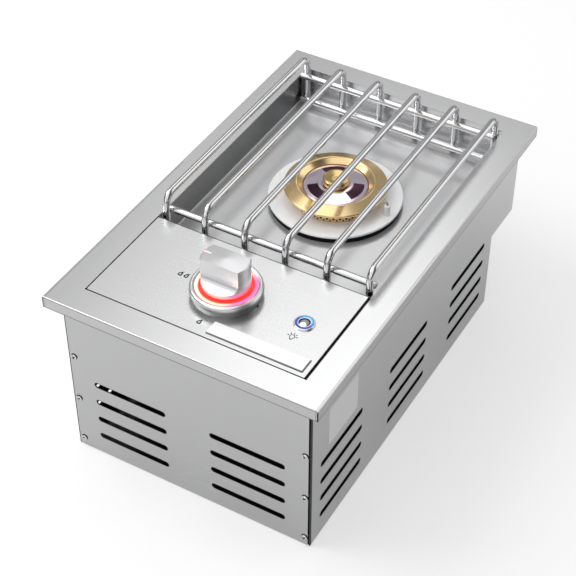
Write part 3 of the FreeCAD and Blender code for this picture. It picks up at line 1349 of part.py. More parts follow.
def screw_places():
    """Where each group of screws sits."""
    case = []
    for side in (-1, 1):
        case += [((screw_x * side, case_front, level), (0, -1, 0)) for level in screw_levels]
        case += [((screw_x * side, low_back, level), (0, 1, 0)) for level in low_rear_levels]
        case += [((screw_x * side, case_back, level), (0, 1, 0)) for level in high_rear_levels]
    case += [((x, low_back, step_screw_level), (0, 1, 0)) for x in step_screw_xs]
    valve = []
    for side in (-1, 1):
        valve.append(((g.valve_screw_x * side, knob_y, top + bracket_top), (0, 0, 1)))
        foot = top - g.frame_sheet - g.bracket_sheet
        valve.append(((g.bezel_screw_circle * side, knob_y, foot), (0, 0, -1)))
    burner = [((x, y, tray_floor), (0, 0, 1)) for x, y in bowl_screw_places]
    return {"case_screws": case, "valve_screws": valve, "burner_screws": burner}


def build_all():
    pieces = [make_top_frame(), make_front_panel(), make_side_panel("left_side_panel", -1),
              make_side_panel("right_side_panel", 1), make_rear_lower_panel(),
              make_rear_upper_panel(), make_bottom_panel(), make_burner_tray(),
              make_control_panel(), make_panel_support("left_panel_support", -1),
              make_panel_support("right_panel_support", 1)]
    for number, x in enumerate(bar_xs, start=1):
        pieces.append(make_grate_bar(f"grate_bar_{number}", x))
    upper, lower = top + g.upper_rod_height, tray_floor + g.lower_rod_rise
    between = g.bar_radius * 2
    for row, y in (("front", bar_front + between), ("back", bar_back - between)):
        pieces.append(make_cross_rod(f"grate_{row}_upper_rod", y, upper))
        pieces.append(make_cross_rod(f"grate_{row}_lower_rod", y, lower))
    pieces += [make_burner_bowl(), make_burner_disc(), make_disc_ring(), make_outer_flame_ring(),
               make_burner_spider(), make_centre_cap(), *make_electrode()]
    pieces += [make_knob(), make_knob_bezel(), make_knob_light_ring(), make_valve_bracket(),
               make_valve_body(), make_valve_cover(), make_stem_collar(), make_valve_stem(),
               make_valve_plug(), make_gas_jet(), make_mixing_tube(), make_air_shutter(),
               make_pipe_nut("valve_pipe_nut", "valve"), make_pipe_nut("rear_pipe_nut", "rear"),
               *make_gas_inlet(), *make_light_switch(), *make_battery_box()]
    solids = [make_gas_pipe(), *make_leads(), make_stem_spring(), make_battery_cells()]
    solids += [make_screws(label, places) for label, places in screw_places().items()]
    document.recompute()
    return [piece.body for piece in pieces] + [solid.feature for solid in solids]


def check(objects):
    """Stops the build if a feature failed, a cut took nothing or a shape isn't sound."""
    for item in document.Objects:
        if "Invalid" in item.State or "Error" in item.State:
            raise RuntimeError(f"{item.Name} failed: {item.State}")
        if item.TypeId in ("PartDesign::Pocket", "PartDesign::Groove"):
            before = item.BaseFeature.Shape.Volume
            if item.Shape.Volume > before - 0.001:
                raise RuntimeError(f"{item.Name} cuts nothing")
    for item in objects:
        if item.Shape.isNull() or not item.Shape.isValid():
            raise RuntimeError(f"{item.Label} has no sound shape")
        if item.isDerivedFrom("PartDesign::Body") and len(item.Shape.Solids) != 1:
            raise RuntimeError(f"{item.Label} has {len(item.Shape.Solids)} solids")


def export(objects):
    os.makedirs("parts", exist_ok=True)
    for item in objects:
        item.Shape.exportStep(os.path.join("parts", item.Label + ".step"))
    print(len(objects), "sub-parts written")


sub_parts = build_all()
check(sub_parts)
export(sub_parts)
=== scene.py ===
import math

import bmesh
import bpy
import numpy as np
from mathutils import Matrix, Vector


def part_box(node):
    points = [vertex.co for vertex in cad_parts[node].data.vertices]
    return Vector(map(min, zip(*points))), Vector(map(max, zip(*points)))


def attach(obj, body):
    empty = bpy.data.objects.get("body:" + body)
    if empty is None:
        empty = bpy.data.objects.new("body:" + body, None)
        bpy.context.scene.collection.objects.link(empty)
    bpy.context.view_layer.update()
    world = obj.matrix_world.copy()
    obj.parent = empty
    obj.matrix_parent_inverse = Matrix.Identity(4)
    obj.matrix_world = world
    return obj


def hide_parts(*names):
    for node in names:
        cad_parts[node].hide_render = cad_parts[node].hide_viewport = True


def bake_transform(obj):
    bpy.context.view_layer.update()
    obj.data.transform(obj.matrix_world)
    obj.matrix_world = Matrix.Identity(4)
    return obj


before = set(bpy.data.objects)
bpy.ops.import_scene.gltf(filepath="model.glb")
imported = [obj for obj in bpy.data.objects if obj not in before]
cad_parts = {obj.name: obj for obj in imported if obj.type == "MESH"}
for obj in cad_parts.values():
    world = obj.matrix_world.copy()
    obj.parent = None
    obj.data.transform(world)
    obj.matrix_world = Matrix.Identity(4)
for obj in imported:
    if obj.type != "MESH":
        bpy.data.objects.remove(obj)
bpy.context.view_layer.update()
print("frame loaded,", len(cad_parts), "nodes")

mm = 0.001
rimLow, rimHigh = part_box("top_frame")
rimTop = rimHigh.z


def middleOf(node, height=rimTop):
    low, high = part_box(node)
    return Vector(((low.x + high.x) / 2, (low.y + high.y) / 2, height))


knobCentre = middleOf("burner_knob")
buttonCentre = middleOf("light_switch_body")
burnerCentre = middleOf("burner_disc")


# Shader maths: a signal is a socket that works in sums
class Signal:
    def __init__(self, shade, socket):
        self.shade, self.socket = shade, socket

    # each operator adds one Math node to the material's tree
    def math(self, operation, *others, flip=False):
        values = [*others, self] if flip else [self, *others]
        return self.shade.node("ShaderNodeMath", {"operation": operation}, dict(enumerate(values)))

    def __add__(self, other):
        return self.math("ADD", other)

    __radd__ = __add__

    def __sub__(self, other):
        return self.math("SUBTRACT", other)

    def __rsub__(self, other):
        return self.math("SUBTRACT", other, flip=True)

    def __mul__(self, other):
        return self.math("MULTIPLY", other)

    __rmul__ = __mul__

    def __truediv__(self, other):
        return self.math("DIVIDE", other)

    def __lt__(self, other):
        return self.math("LESS_THAN", other)

    def __gt__(self, other):
        return self.math("GREATER_THAN", other)

    def __abs__(self):
        return self.math("ABSOLUTE")

    def power(self, other):
        return self.math("POWER", other)

    # 0 below low, 1 above high, smooth between
    def smooth(self, low, high):
        return self.shade.node("ShaderNodeMapRange", {"interpolation_type": "SMOOTHSTEP"},
                               {"Value": self, "From Min": low, "From Max": high})


# One material, or the world's light: node() adds any node, set() gives the surface its numbers and
# signals
class Shade:
    def __init__(self, name, world=None, **values):
        self.material = world or bpy.data.materials.new(name)
        self.material.use_nodes = True
        self.tree = self.material.node_tree
        self.surface = self.tree.nodes["Background" if world else "Principled BSDF"]
        self.place = self.node("ShaderNodeTexCoord", {}, {}, "Object")
        self.set(**values)

    def connect(self, inlets, values):
        for name, value in values.items():
            if isinstance(value, Signal):
                self.tree.links.new(value.socket, inlets[name])
            else:
                inlets[name].default_value = value

    def node(self, kind, settings, values, outlet=0):
        made = self.tree.nodes.new(kind)
        for name, value in settings.items():
            setattr(made, name, value)
        self.connect(made.inputs, values)
        return Signal(self, made.outputs[outlet])

    def set(self, **values):
        self.connect(self.surface.inputs, {name.replace("_", " "): value for name, value in values.items()})

    def axis(self, name):
        return self.node("ShaderNodeSeparateXYZ", {}, {0: self.place}, "XYZ".index(name))

    def vector(self, x=0.0, y=0.0, z=0.0):
        return self.node("ShaderNodeCombineXYZ", {}, {"X": x, "Y": y, "Z": z})

    # cloudy noise between 0 and 1, about 0.5 on average
    def noise(self, where, scale=1.0, detail=2.0, roughness=0.5):
        return self.node("ShaderNodeTexNoise", {}, {"Vector": where, "Scale": scale,
                                                    "Detail": detail, "Roughness": roughness})

    def mix(self, factor, first, second):
        return self.node("ShaderNodeMix", {"data_type": "RGBA"}, {0: factor, 6: first, 7: second}, 2)

    def bump(self, height, strength, distance):
        return self.node("ShaderNodeBump", {}, {"Height": height, "Strength": strength,
                                                "Distance": distance})

    # distance from an upright centre line
    def radius(self, centre):
        x, y = self.axis("X") - centre.x, self.axis("Y") - centre.y
        return (x * x + y * y).power(0.5)

    # the marks that a lathe tool leaves: noise of the distance from the centre line and of the height
    def turned(self, centre, pitch, rise):
        return self.noise(self.vector(self.radius(centre) / pitch, 0.0, self.axis("Z") / rise))


# a grey, a little cooler where blue is above 0
def grey(value, blue=0.0):
    return (value - blue / 2, value, value + blue, 1.0)


# a darker and a lighter kind of one colour
def shades(colour, shift):
    dark = tuple(c * (1 - shift) for c in colour) + (1.0,)
    light = tuple(min(1.0, c * (1 + shift)) for c in colour) + (1.0,)
    return dark, light


brushed = {"tone": 0.78, "shift": 0.04, "roughness": 0.26, "spread": 0.04, "metallic": 1.0, "along": 9.0,
           "across": 900.0, "cloud": 14.0, "depth": 0.03 * mm, "bump": 0.15, "skin": 0.5 * mm,
           "dull": 0.12, "bandsAlong": 3, "bandsAcross": 12, "cloudTone": 0.6, "cloudSpread": 0.05,
           "blue": 0.004}


# streaks = noise(along * place along the grain, across * place across it): long, fine hairlines
def streaks(shade, grain, along, across, offset=0.0):
    scale = {"X": across, "Y": across, "Z": across, grain: along}
    where = shade.vector(shade.axis("X") * scale["X"] + offset, shade.axis("Y") * scale["Y"],
                         shade.axis("Z") * scale["Z"])
    return shade.noise(where, 1.0, 3.0, 0.6)


# tone = sheet tone + fine hairlines + broader bands + faint clouds, and black where the shade mask is 1,
# as painted shade. Painted shade also darkens a sheet where it lies deeper than its skin, so inside the case
def brushedSteel(name, grain, outside=None, shadeMask=None, **change):
    s = {**brushed, **change}
    shade = Shade(name)
    fine = streaks(shade, grain, s["along"], s["across"])
    broad = streaks(shade, grain, s["along"] / s["bandsAlong"], s["across"] / s["bandsAcross"], 3.7)
    cloud = shade.noise(shade.place, s["cloud"])
    tone = s["tone"] + s["shift"] * (fine + broad - 1.0) + s["shift"] * s["cloudTone"] * (cloud - 0.5)
    dark = shadeMask(shade) if shadeMask else 0.0
    if outside:
        # painted shade: the sheet's inner side is darkened
        tone = tone * (1.0 - (1.0 - s["dull"]) * (outside(shade) > s["skin"]))
    if shadeMask:
        tone = tone * (1.0 - dark)
    shade.set(Base_Color=shade.mix(tone, grey(0.0), grey(1.0, s["blue"])),
              Metallic=s["metallic"] * (1.0 - dark),
              Roughness=s["roughness"] + s["spread"] * (fine - 0.5) + s["cloudSpread"] * (cloud - 0.5),
              Normal=shade.bump(fine, s["bump"], s["depth"]))
    return shade.material


vent = {"half": 41 * mm, "round": 3 * mm, "edge": {"front": 0.9 * mm, "side": 1.3 * mm},
        "lowest": 28 * mm, "pitch": 26 * mm, "rows": 4, "columns": 3, "corner": 3.0 * mm,
        "front": (-71.65 * mm, 143.3 * mm), "side": (-181 * mm, 152 * mm)}


# distance along one axis from the middle of the nearest slot, a pitch apart from the first one at 0
def fromSlot(distance, pitch):
    return (distance + pitch * 1.5).math("MODULO", pitch) - pitch / 2


# painted shade round the vents, a black edging that widens their shaded openings: distance to a slot =
# sqrt(max(|u| - half, 0)^2 + v^2) - round < edge, where u and v are measured from the middle of the nearest
# slot. The last row and column end it
def ventEdges(shade, grain, group):
    first, pitch = vent[group]
    u = fromSlot(shade.axis(grain) - first, pitch)
    v = fromSlot(shade.axis("Z") - vent["lowest"], vent["pitch"])
    beyond = (abs(u) - vent["half"]).math("MAXIMUM", 0.0)
    near = (beyond * beyond + v * v).power(0.5) < vent["round"] + vent["edge"][group]
    row = (shade.axis("Z") - vent["lowest"]) / vent["pitch"]
    column = (shade.axis(grain) - first) / pitch
    return near * (row > -0.5) * (row < vent["rows"] - 0.5) * (column < vent["columns"] - 0.5)


# On the sides, the open joint with the front panel is painted dark too, as painted shade in its gap
def sideShadeMask(shade):
    joint = shade.axis("Y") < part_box("front_panel")[0].y + vent["corner"]
    return 1.0 - (1.0 - joint) * (1.0 - ventEdges(shade, "Y", "side"))


rimFinish = {"bump": 0.012, "cloudTone": 0.03, "notch": 1.2 * mm, "notchTop": 1.6 * mm,
             "bend": 1.5 * mm, "bendTone": 0.62, "hem": 1.1 * mm, "hemTone": 0.42,
             "line": (2.0 * mm, 2.7 * mm), "lineTone": 0.5,
             "seam": (128.8 * mm, 130.1 * mm), "seamY": (-229.3 * mm, -97 * mm)}


# The rim is brushed along each side: the grain turns at the mitred corners. Painted shade darkens the bend
# along its front and back, a line near each side's edge over the front half, and the hem of the lip. Below
# the top, the gap where the two folds meet at a corner is painted dark as shade, and so is the seam at the
# panel's right
def rimSteel():
    s = rimFinish
    shade = Shade("rimSteel")
    x, y, z = shade.axis("X"), shade.axis("Y"), shade.axis("Z")
    toSide = rimHigh.x - abs(x)
    toEnd = rimHigh.y - abs(y)
    onSide = toSide < toEnd
    alongX = streaks(shade, "X", brushed["along"], brushed["across"])
    alongY = streaks(shade, "Y", brushed["along"], brushed["across"], 5.1)
    fine = onSide * alongY + (1.0 - onSide) * alongX
    cloud = shade.noise(shade.place, brushed["cloud"])
    tone = brushed["tone"] + brushed["shift"] * (fine - 0.5) + s["cloudTone"] * (cloud - 0.5)
    # painted shade: the bends, the side lines, the hem, the corner gaps and the seam
    onBend = (z > rimTop - s["bend"]) * (1.0 - toEnd.smooth(0.0, s["bend"]))
    tone = tone * (1.0 - (1.0 - s["bendTone"]) * onBend)
    line = (toSide > s["line"][0]) * (toSide < s["line"][1]) * (y < 0.0)
    tone = tone * (1.0 - (1.0 - s["lineTone"]) * line)
    hem = (z < rimLow.z + s["hem"]) * (1.0 - s["hemTone"])
    notch = ((toSide + toEnd) < s["notch"]) * (z < rimTop - s["notchTop"])
    seam = (x > s["seam"][0]) * (x < s["seam"][1]) * (y > s["seamY"][0]) * (y < s["seamY"][1])
    dark = 1.0 - (1.0 - notch) * (1.0 - seam)
    shade.set(Base_Color=shade.mix(tone * (1.0 - dark) * (1.0 - hem), grey(0.0), grey(1.0, brushed["blue"])),
              Metallic=1.0 - dark,
              Roughness=brushed["roughness"] + brushed["spread"] * (fine - 0.5),
              Normal=shade.bump(fine, s["bump"], brushed["depth"]))
    return shade.material


trayFinish = {"wall": 0.23, "backWall": 0.95, "floor": 0.66, "roughness": 0.24, "metallic": 0.6,
              "corner": 1.5 * mm, "back": 12 * mm, "foot": (1.2 * mm, 1.7 * mm, 2.8 * mm, 3.4 * mm),
              "footTone": 0.95, "footWide": 15 * mm, "footMatt": 0.85, "along": 12.0, "across": 700.0,
              "cloud": 22.0, "fineTone": 0.03, "cloudTone": 0.05, "spread": 0.06, "bump": 0.25,
              "depth": 0.02 * mm, "blue": 0.01}


# The tray's floor is bright, and its drawn walls are painted dark as shade, but for the back one, painted
# light, and a painted highlight line at the foot of the left one, as high as the corner's bend
def traySteel():
    s = trayFinish
    shade = Shade("traySteel")
    low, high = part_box("burner_tray")
    fine = streaks(shade, "X", s["along"], s["across"])
    cloud = shade.noise(shade.place, s["cloud"], 3.0)
    height = shade.axis("Z") - low.z
    wall = height.smooth(s["corner"], s["corner"] * 3)
    atBack = shade.axis("Y") > high.y - s["back"]
    # painted shade on the side walls, painted light on the back wall
    paintedWallTone = s["wall"] + (s["backWall"] - s["wall"]) * atBack
    tone = s["floor"] + (paintedWallTone - s["floor"]) * wall
    start, full, fade, end = s["foot"]
    # painted highlight along the foot of the left wall
    atLeft = shade.axis("X") < low.x + s["footWide"]
    foot = height.smooth(start, full) * (1.0 - height.smooth(fade, end)) * atLeft
    tone = tone + (s["footTone"] - tone) * foot
    tone = tone + s["fineTone"] * (fine - 0.5) + s["cloudTone"] * (cloud - 0.5)
    shade.set(Base_Color=shade.mix(tone, grey(0.0), grey(1.0, s["blue"])),
              Metallic=(1.0 - (1.0 - s["metallic"]) * (1.0 - wall)) * (1.0 - s["footMatt"] * foot),
              Roughness=s["roughness"] + s["spread"] * (fine - 0.5) + s["spread"] * (cloud - 0.5),
              Normal=shade.bump(fine, s["bump"], s["depth"]))
    return shade.material


plain = {"spread": 0.08, "depth": 0.2 * mm}
lathe = {"pitch": 0.5 * mm, "climb": 0.3, "depth": 0.03 * mm, "bump": 0.3, "cloud": 45.0,
         "lineShare": 0.6, "cloudShare": 0.4, "lineSpread": 0.1, "cloudSpread": 0.06}


# One colour with faint clouds
def plainMetal(name, colour, roughness, scale=60.0, shift=0.06, metallic=1.0, bump=0.08, specular=0.5):
    shade = Shade(name, Metallic=metallic, Specular_IOR_Level=specular)
    cloud = shade.noise(shade.place, scale, 3.0)
    shade.set(Base_Color=shade.mix(cloud, *shades(colour, shift)),
              Roughness=roughness + plain["spread"] * (cloud - 0.5),
              Normal=shade.bump(cloud, bump, plain["depth"]))
    return shade.material


# One colour with the rings of a lathe round a centre line, and faint clouds
def turnedMetal(name, colour, roughness, centre, pitch=lathe["pitch"], depth=lathe["depth"], shift=0.05,
                metallic=1.0):
    shade = Shade(name, Metallic=metallic)
    lines = shade.turned(centre, pitch, pitch / lathe["climb"])
    cloud = shade.noise(shade.place, lathe["cloud"], 3.0)
    mixed = lines * lathe["lineShare"] + cloud * lathe["cloudShare"]
    spread = lathe["lineSpread"] * (lines - 0.5) + lathe["cloudSpread"] * (cloud - 0.5)
    shade.set(Base_Color=shade.mix(mixed, *shades(colour, shift)), Roughness=roughness + spread,
              Normal=shade.bump(lines, lathe["bump"], depth))
    return shade.material


bowlFinish = {"outside": (0.42, 0.42, 0.43), "inside": (0.46, 0.27, 0.36), "mouth": (43 * mm, 46 * mm),
              "shift": 0.1, "cloud": 120.0, "roughness": 0.45, "metallic": 0.3, "bump": 0.15}


# The bowl is plain cast alloy outside, and purple-brown inside, where the radius is below its mouth's
def bowlAlloy():
    s = bowlFinish
    shade = Shade("bowlAlloy", Metallic=s["metallic"])
    cloud = shade.noise(shade.place, s["cloud"], 3.0)
    outward = shade.radius(burnerCentre).smooth(*s["mouth"])
    inside, outside = (shade.mix(cloud, *shades(s[side], s["shift"])) for side in ("inside", "outside"))
    shade.set(Base_Color=shade.mix(outward, inside, outside),
              Roughness=s["roughness"] + plain["spread"] * (cloud - 0.5),
              Normal=shade.bump(cloud, s["bump"], plain["depth"]))
    return shade.material


ringFinish = {"bright": (0.98, 0.72, 0.38), "brown": (0.72, 0.5, 0.3, 1.0),
              "soot": (0.006, 0.005, 0.006, 1.0), "shift": 0.05,
              "ports": 45, "skirt": 51.25 * mm, "outside": 0.4 * mm, "inside": 4 * mm,
              "under": 204.9 * mm, "fade": 1.2 * mm, "brownFrom": 1 * mm, "rise": 1.7 * mm,
              "large": (196.3 * mm, 202.4 * mm, 1.35 * mm), "small": (194.3 * mm, 196.9 * mm, 0.9 * mm),
              "softSpot": 0.7, "roughness": 0.2, "sootRoughness": 0.3}


# The ring is bright above, and brown on its skirt under its lip. Painted shade marks the skirt
# round each flame port as a dark spot: |a - nearest port's angle| * radius < half width, between two
# levels. The small ports are half a pitch away from the large ones
def ringBrass():
    s = ringFinish
    shade = Shade("burnerBrass")
    radius = shade.radius(burnerCentre)
    height = shade.axis("Z")
    lines = shade.turned(burnerCentre, lathe["pitch"], s["rise"])
    cloud = shade.noise(shade.place, lathe["cloud"], 3.0)
    pitches = (shade.axis("Y") - burnerCentre.y).math("ARCTAN2", shade.axis("X") - burnerCentre.x)
    pitches = pitches * (s["ports"] / (2 * math.pi)) + s["ports"] + 0.5
    offset = abs(pitches.math("FRACT") - 0.5)
    pitch = 2 * math.pi * s["skirt"] / s["ports"]
    spots = 0.0
    for (low, high, half), away in ((s["large"], offset), (s["small"], 0.5 - offset)):
        beside = 1.0 - (away * pitch).smooth(half * s["softSpot"], half)
        spots = spots + beside * (height > low) * (height < high)
    onSkirt = (radius < s["skirt"] + s["outside"]) * (radius > s["skirt"] - s["inside"])
    # painted shade: dark spots for the flame ports' openings
    portShadeMask = onSkirt * (height < s["under"]) * spots
    below = 1.0 - height.smooth(s["under"] - s["fade"], s["under"])
    brown = below * (radius > s["skirt"] - s["brownFrom"])
    mixed = lines * lathe["lineShare"] + cloud * lathe["cloudShare"]
    colour = shade.mix(brown, shade.mix(mixed, *shades(s["bright"], s["shift"])), s["brown"])
    spread = lathe["lineSpread"] * (lines - 0.5) + lathe["cloudSpread"] * (cloud - 0.5)
    shade.set(Base_Color=shade.mix(portShadeMask, colour, s["soot"]), Metallic=1.0 - portShadeMask,
              Roughness=s["roughness"] + spread + s["sootRoughness"] * portShadeMask,
              Normal=shade.bump(lines, lathe["bump"], lathe["depth"]))
    return shade.material


knobLight = {"red": (1.0, 0.045, 0.035, 1.0), "left": (1.0, 0.72, 0.5, 1.0), "front": (1.0, 0.5, 0.36, 1.0),
             "right": (0.9, 0.16, 0.42, 1.0), "strength": 1.1, "roughness": 0.25,
             "inner": 27 * mm, "outer": 32.2 * mm, "half": 30 * mm,
             "warmEdge": (-0.9, -0.3), "pinkEdge": (0.35, 0.8), "paleEdge": (0.2, 0.7)}


# The knob's light guide glows red beside the knob; outwards a painted highlight pales it to warm white at
# the left and in front, and turns it pink at the right
def knobGlow():
    s = knobLight
    shade = Shade("knobGlow", Roughness=s["roughness"])
    across = (shade.axis("X") - knobCentre.x) / s["half"]
    outwards = (shade.radius(knobCentre) - s["inner"]) / (s["outer"] - s["inner"])
    warm = shade.mix(across.smooth(*s["warmEdge"]), s["left"], s["front"])
    pale = shade.mix(across.smooth(*s["pinkEdge"]), warm, s["right"])
    colour = shade.mix(outwards.smooth(*s["paleEdge"]), s["red"], pale)
    shade.set(Base_Color=colour, Emission_Color=colour, Emission_Strength=s["strength"])
    return shade.material


buttonLight = {"dark": (0.003, 0.015, 0.1, 1.0), "middle": (0.005, 0.05, 0.36, 1.0),
               "high": (0.08, 0.42, 1.0, 1.0), "strength": 0.9, "roughness": 0.2,
               "sideways": 0.3, "backEdge": (-0.2, 0.95), "rimEdge": (0.8, 1.0)}


# The button's ring is brightest at the back, a little to the right, and painted dark along its outer edge
# as shade
def buttonGlow():
    s = buttonLight
    shade = Shade("buttonGlow", Roughness=s["roughness"])
    low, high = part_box("switch_light_ring")
    outer = (high.x - low.x) / 2
    back = (shade.axis("Y") - buttonCentre.y) / outer
    sideways = (shade.axis("X") - buttonCentre.x) / outer
    bright = shade.mix((back + s["sideways"] * sideways).smooth(*s["backEdge"]), s["middle"], s["high"])
    colour = shade.mix((shade.radius(buttonCentre) / outer).smooth(*s["rimEdge"]), bright, s["dark"])
    shade.set(Base_Color=colour, Emission_Color=colour, Emission_Strength=s["strength"])
    return shade.material


# Small polished pieces: how their clouds and their cool tint look
polish = {"cloud": 300.0, "spread": 0.06, "tone": 0.03, "blue": 0.01}
buttonFinish = {"slope": 1.1, "reach": 0.6 * mm, "edge": (-0.8 * mm, 0.5 * mm), "dark": 0.22, "bright": 0.95,
                "roughness": 0.16}


# The domed button is dark with a white wedge towards the front, a painted reflection of the room:
# |x| < reach - slope * y
def buttonChrome():
    s = buttonFinish
    shade = Shade("buttonChrome", Metallic=1.0)
    x, y = shade.axis("X") - buttonCentre.x, shade.axis("Y") - buttonCentre.y
    wedge = s["reach"] - s["slope"] * y - abs(x)
    cloud = shade.noise(shade.place, polish["cloud"])
    shade.set(Base_Color=shade.mix(wedge.smooth(*s["edge"]), grey(s["dark"]), grey(s["bright"])),
              Roughness=s["roughness"] + polish["spread"] * (cloud - 0.5))
    return shade.material


bezelFinish = {"outer": 0.2, "crest": 0.96, "low": 230.5 * mm, "high": 236.8 * mm, "roughness": 0.3,
               "pitch": 0.6 * mm, "rise": 2 * mm, "bump": 0.06, "depth": 0.02 * mm}


# The bezel's outer side is painted dark as shade and its crest painted bright as a highlight, with fine
# turned lines
def bezelSteel():
    s = bezelFinish
    shade = Shade("bezelSatin", Metallic=1.0)
    lines = shade.turned(knobCentre, s["pitch"], s["rise"])
    crest = shade.axis("Z").smooth(s["low"], s["high"])
    tone = s["outer"] + (s["crest"] - s["outer"]) * crest + polish["tone"] * (lines - 0.5)
    shade.set(Base_Color=shade.mix(tone, grey(0.0), grey(1.0, polish["blue"])),
              Roughness=s["roughness"] + polish["spread"] * (lines - 0.5),
              Normal=shade.bump(lines, s["bump"], s["depth"]))
    return shade.material


screwFinish = {"bright": 0.92, "dark": 0.04, "recess": (0.26, 0.42), "rim": (0.84, 0.98), "roughness": 0.14}


# A head is painted dark as shade in its recess and towards its rim, and painted bright as a highlight
# between them. The attribute "reach" is 0 at its middle, 1 at its rim. The other screws have no such
# attribute, so they are dark all over
def screwSteel():
    s = screwFinish
    shade = Shade("screwSteel", Metallic=1.0)
    reach = shade.node("ShaderNodeAttribute", {"attribute_name": "reach"}, {}, "Fac")
    cloud = shade.noise(shade.place, polish["cloud"])
    lit = reach.smooth(*s["recess"]) * (1.0 - reach.smooth(*s["rim"]))
    tone = s["dark"] + (s["bright"] - s["dark"]) * lit + polish["tone"] * (cloud - 0.5)
    shade.set(Base_Color=shade.mix(tone, grey(0.0), grey(1.0, polish["blue"])),
              Roughness=s["roughness"] + polish["spread"] * (cloud - 0.5))
    return shade.material


plastic = {"grain": 1800.0, "shift": 0.1, "spread": 0.1, "bump": 0.2, "depth": 0.03 * mm}


# A plastic, glaze or jacket with a very fine grain
def softPlastic(name, colour, roughness=0.45):
    shade = Shade(name)
    grain = shade.noise(shade.place, plastic["grain"])
    shade.set(Base_Color=shade.mix(grain, *shades(colour, plastic["shift"])),
              Roughness=roughness + plastic["spread"] * (grain - 0.5),
              Normal=shade.bump(grain, plastic["bump"], plastic["depth"]))
    return shade.material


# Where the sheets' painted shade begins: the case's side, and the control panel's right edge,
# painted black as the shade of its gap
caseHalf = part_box("right_side_panel")[1].x
panelShadeBand = 0.9 * mm
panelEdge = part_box("control_panel")[1].x - panelShadeBand
finish = {
    # the case sheets are one steel; their tones differ from face to face as painted shade and light
    "frontSheet": brushedSteel("frontSheet", "X", lambda s: s.axis("Y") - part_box("front_panel")[0].y,
                               lambda s: ventEdges(s, "X", "front"), tone=0.75),
    "rearSheet": brushedSteel("rearSheet", "X", tone=0.72),
    "sideSheet": brushedSteel("sideSheet", "Y", lambda s: caseHalf - abs(s.axis("X")), sideShadeMask, tone=0.88),
    "baseSheet": brushedSteel("baseSheet", "Y", lambda s: s.axis("Z")),
    "panelSheet": brushedSteel("panelSheet", "X", None, lambda s: s.axis("X") > panelEdge, tone=0.79,
                               shift=0.02, roughness=0.28, metallic=0.93, bump=0.03),
    "rim": rimSteel(),
    "tray": traySteel(),
    "zinc": plainMetal("zincSheet", (0.55, 0.56, 0.58), 0.4),
    "castAlloy": plainMetal("castAlloy", (0.5, 0.5, 0.51), 0.5, 220.0, 0.1),
    "bowl": bowlAlloy(),
    # the disc's cool white tint is painted light, standing in for the flames' blue light
    "disc": turnedMetal("discSteel", (0.96, 0.97, 0.98), 0.36, burnerCentre, 0.8 * mm, 0.02 * mm, 0.015, 0.2),
    "enamel": plainMetal("blackEnamel", (0.006, 0.006, 0.007), 0.6, metallic=0.0, specular=0.1),
    "brass": ringBrass(),
    "capBrass": turnedMetal("capBrass", (0.82, 0.6, 0.27), 0.26, burnerCentre),
    "plainBrass": plainMetal("plainBrass", (0.78, 0.58, 0.28), 0.35),
    "spider": turnedMetal("spiderSteel", (0.86, 0.77, 0.87), 0.2, burnerCentre, 0.7 * mm),
    "ceramic": softPlastic("whiteCeramic", (0.86, 0.86, 0.84), 0.2),
    "darkSteel": plainMetal("darkSteel", (0.3, 0.3, 0.31), 0.35),
    "knob": plainMetal("knobSatin", (0.76, 0.76, 0.77), 0.3, 400.0, 0.02, 0.9, 0.02),
    "bezel": bezelSteel(),
    "button": buttonChrome(),
    "knobGlow": knobGlow(),
    "blueGlow": buttonGlow(),
    "nickel": plainMetal("brightNickel", (0.74, 0.74, 0.76), 0.14),
    "rod": plainMetal("polishedRod", (0.76, 0.76, 0.77), 0.13, 150.0, 0.03),
    "blackPlastic": softPlastic("blackPlastic", (0.02, 0.02, 0.022)),
    "cell": softPlastic("cellJacket", (0.08, 0.08, 0.1), 0.3),
    "pipe": plainMetal("pipeSteel", (0.5, 0.5, 0.52), 0.35),
    "screw": screwSteel(),
}

# which nodes wear each finish; the rods' one is for every bar and rod of the grate
wearers = {
    "rim": ["top_frame"], "frontSheet": ["front_panel"], "baseSheet": ["bottom_panel"],
    "rearSheet": ["rear_lower_panel", "rear_upper_panel"], "panelSheet": ["control_panel"],
    "sideSheet": ["left_side_panel", "right_side_panel"], "tray": ["burner_tray"],
    "zinc": ["left_panel_support", "right_panel_support", "valve_bracket", "air_shutter"],
    "castAlloy": ["mixing_tube", "valve_cover"], "bowl": ["burner_bowl"], "disc": ["burner_disc"],
    "enamel": ["disc_spacer_ring"], "brass": ["outer_flame_ring"], "capBrass": ["centre_cap"],
    "spider": ["well_spider"], "ceramic": ["electrode_ceramic"],
    "darkSteel": ["spark_rod", "valve_stem", "stem_collar", "stem_spring"],
    "knob": ["burner_knob"], "bezel": ["knob_bezel"], "knobGlow": ["knob_light_ring"],
    "button": ["light_button"], "blueGlow": ["switch_light_ring"],
    "nickel": ["light_switch_body", "switch_nut"], "pipe": ["gas_pipe"],
    "plainBrass": ["valve_body", "valve_plug", "gas_jet", "valve_pipe_nut", "rear_pipe_nut",
                   "gas_inlet_fitting", "inlet_locknut"],
    "blackPlastic": ["battery_box", "battery_box_lid", "igniter_lead", "switch_lead", "knob_light_lead"],
    "cell": ["battery_cells"], "screw": ["case_screws", "valve_screws", "burner_screws"],
    "rod": [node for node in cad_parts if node.startswith("grate_")],
}
for name, nodes in wearers.items():
    for node in nodes:
        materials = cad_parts[node].data.materials
        materials.clear()
        materials.append(finish[name])
print("finishes given to", sum(len(nodes) for nodes in wearers.values()), "nodes")


# faces of a grid of rows and columns of points; a closed direction joins its last line to its first
def gridFaces(rows, columns, closeRows, closeColumns, offset):
    i, j = np.meshgrid(np.arange(rows if closeRows else rows - 1),
                       np.arange(columns if closeColumns else columns - 1), indexing="ij")
    nextI, nextJ = (i + 1) % rows, (j + 1) % columns
    quads = np.stack([i * columns + j, i * columns + nextJ, nextI * columns + nextJ,
                      nextI * columns + j], axis=-1)
    return quads.reshape(-1, 4) + offset
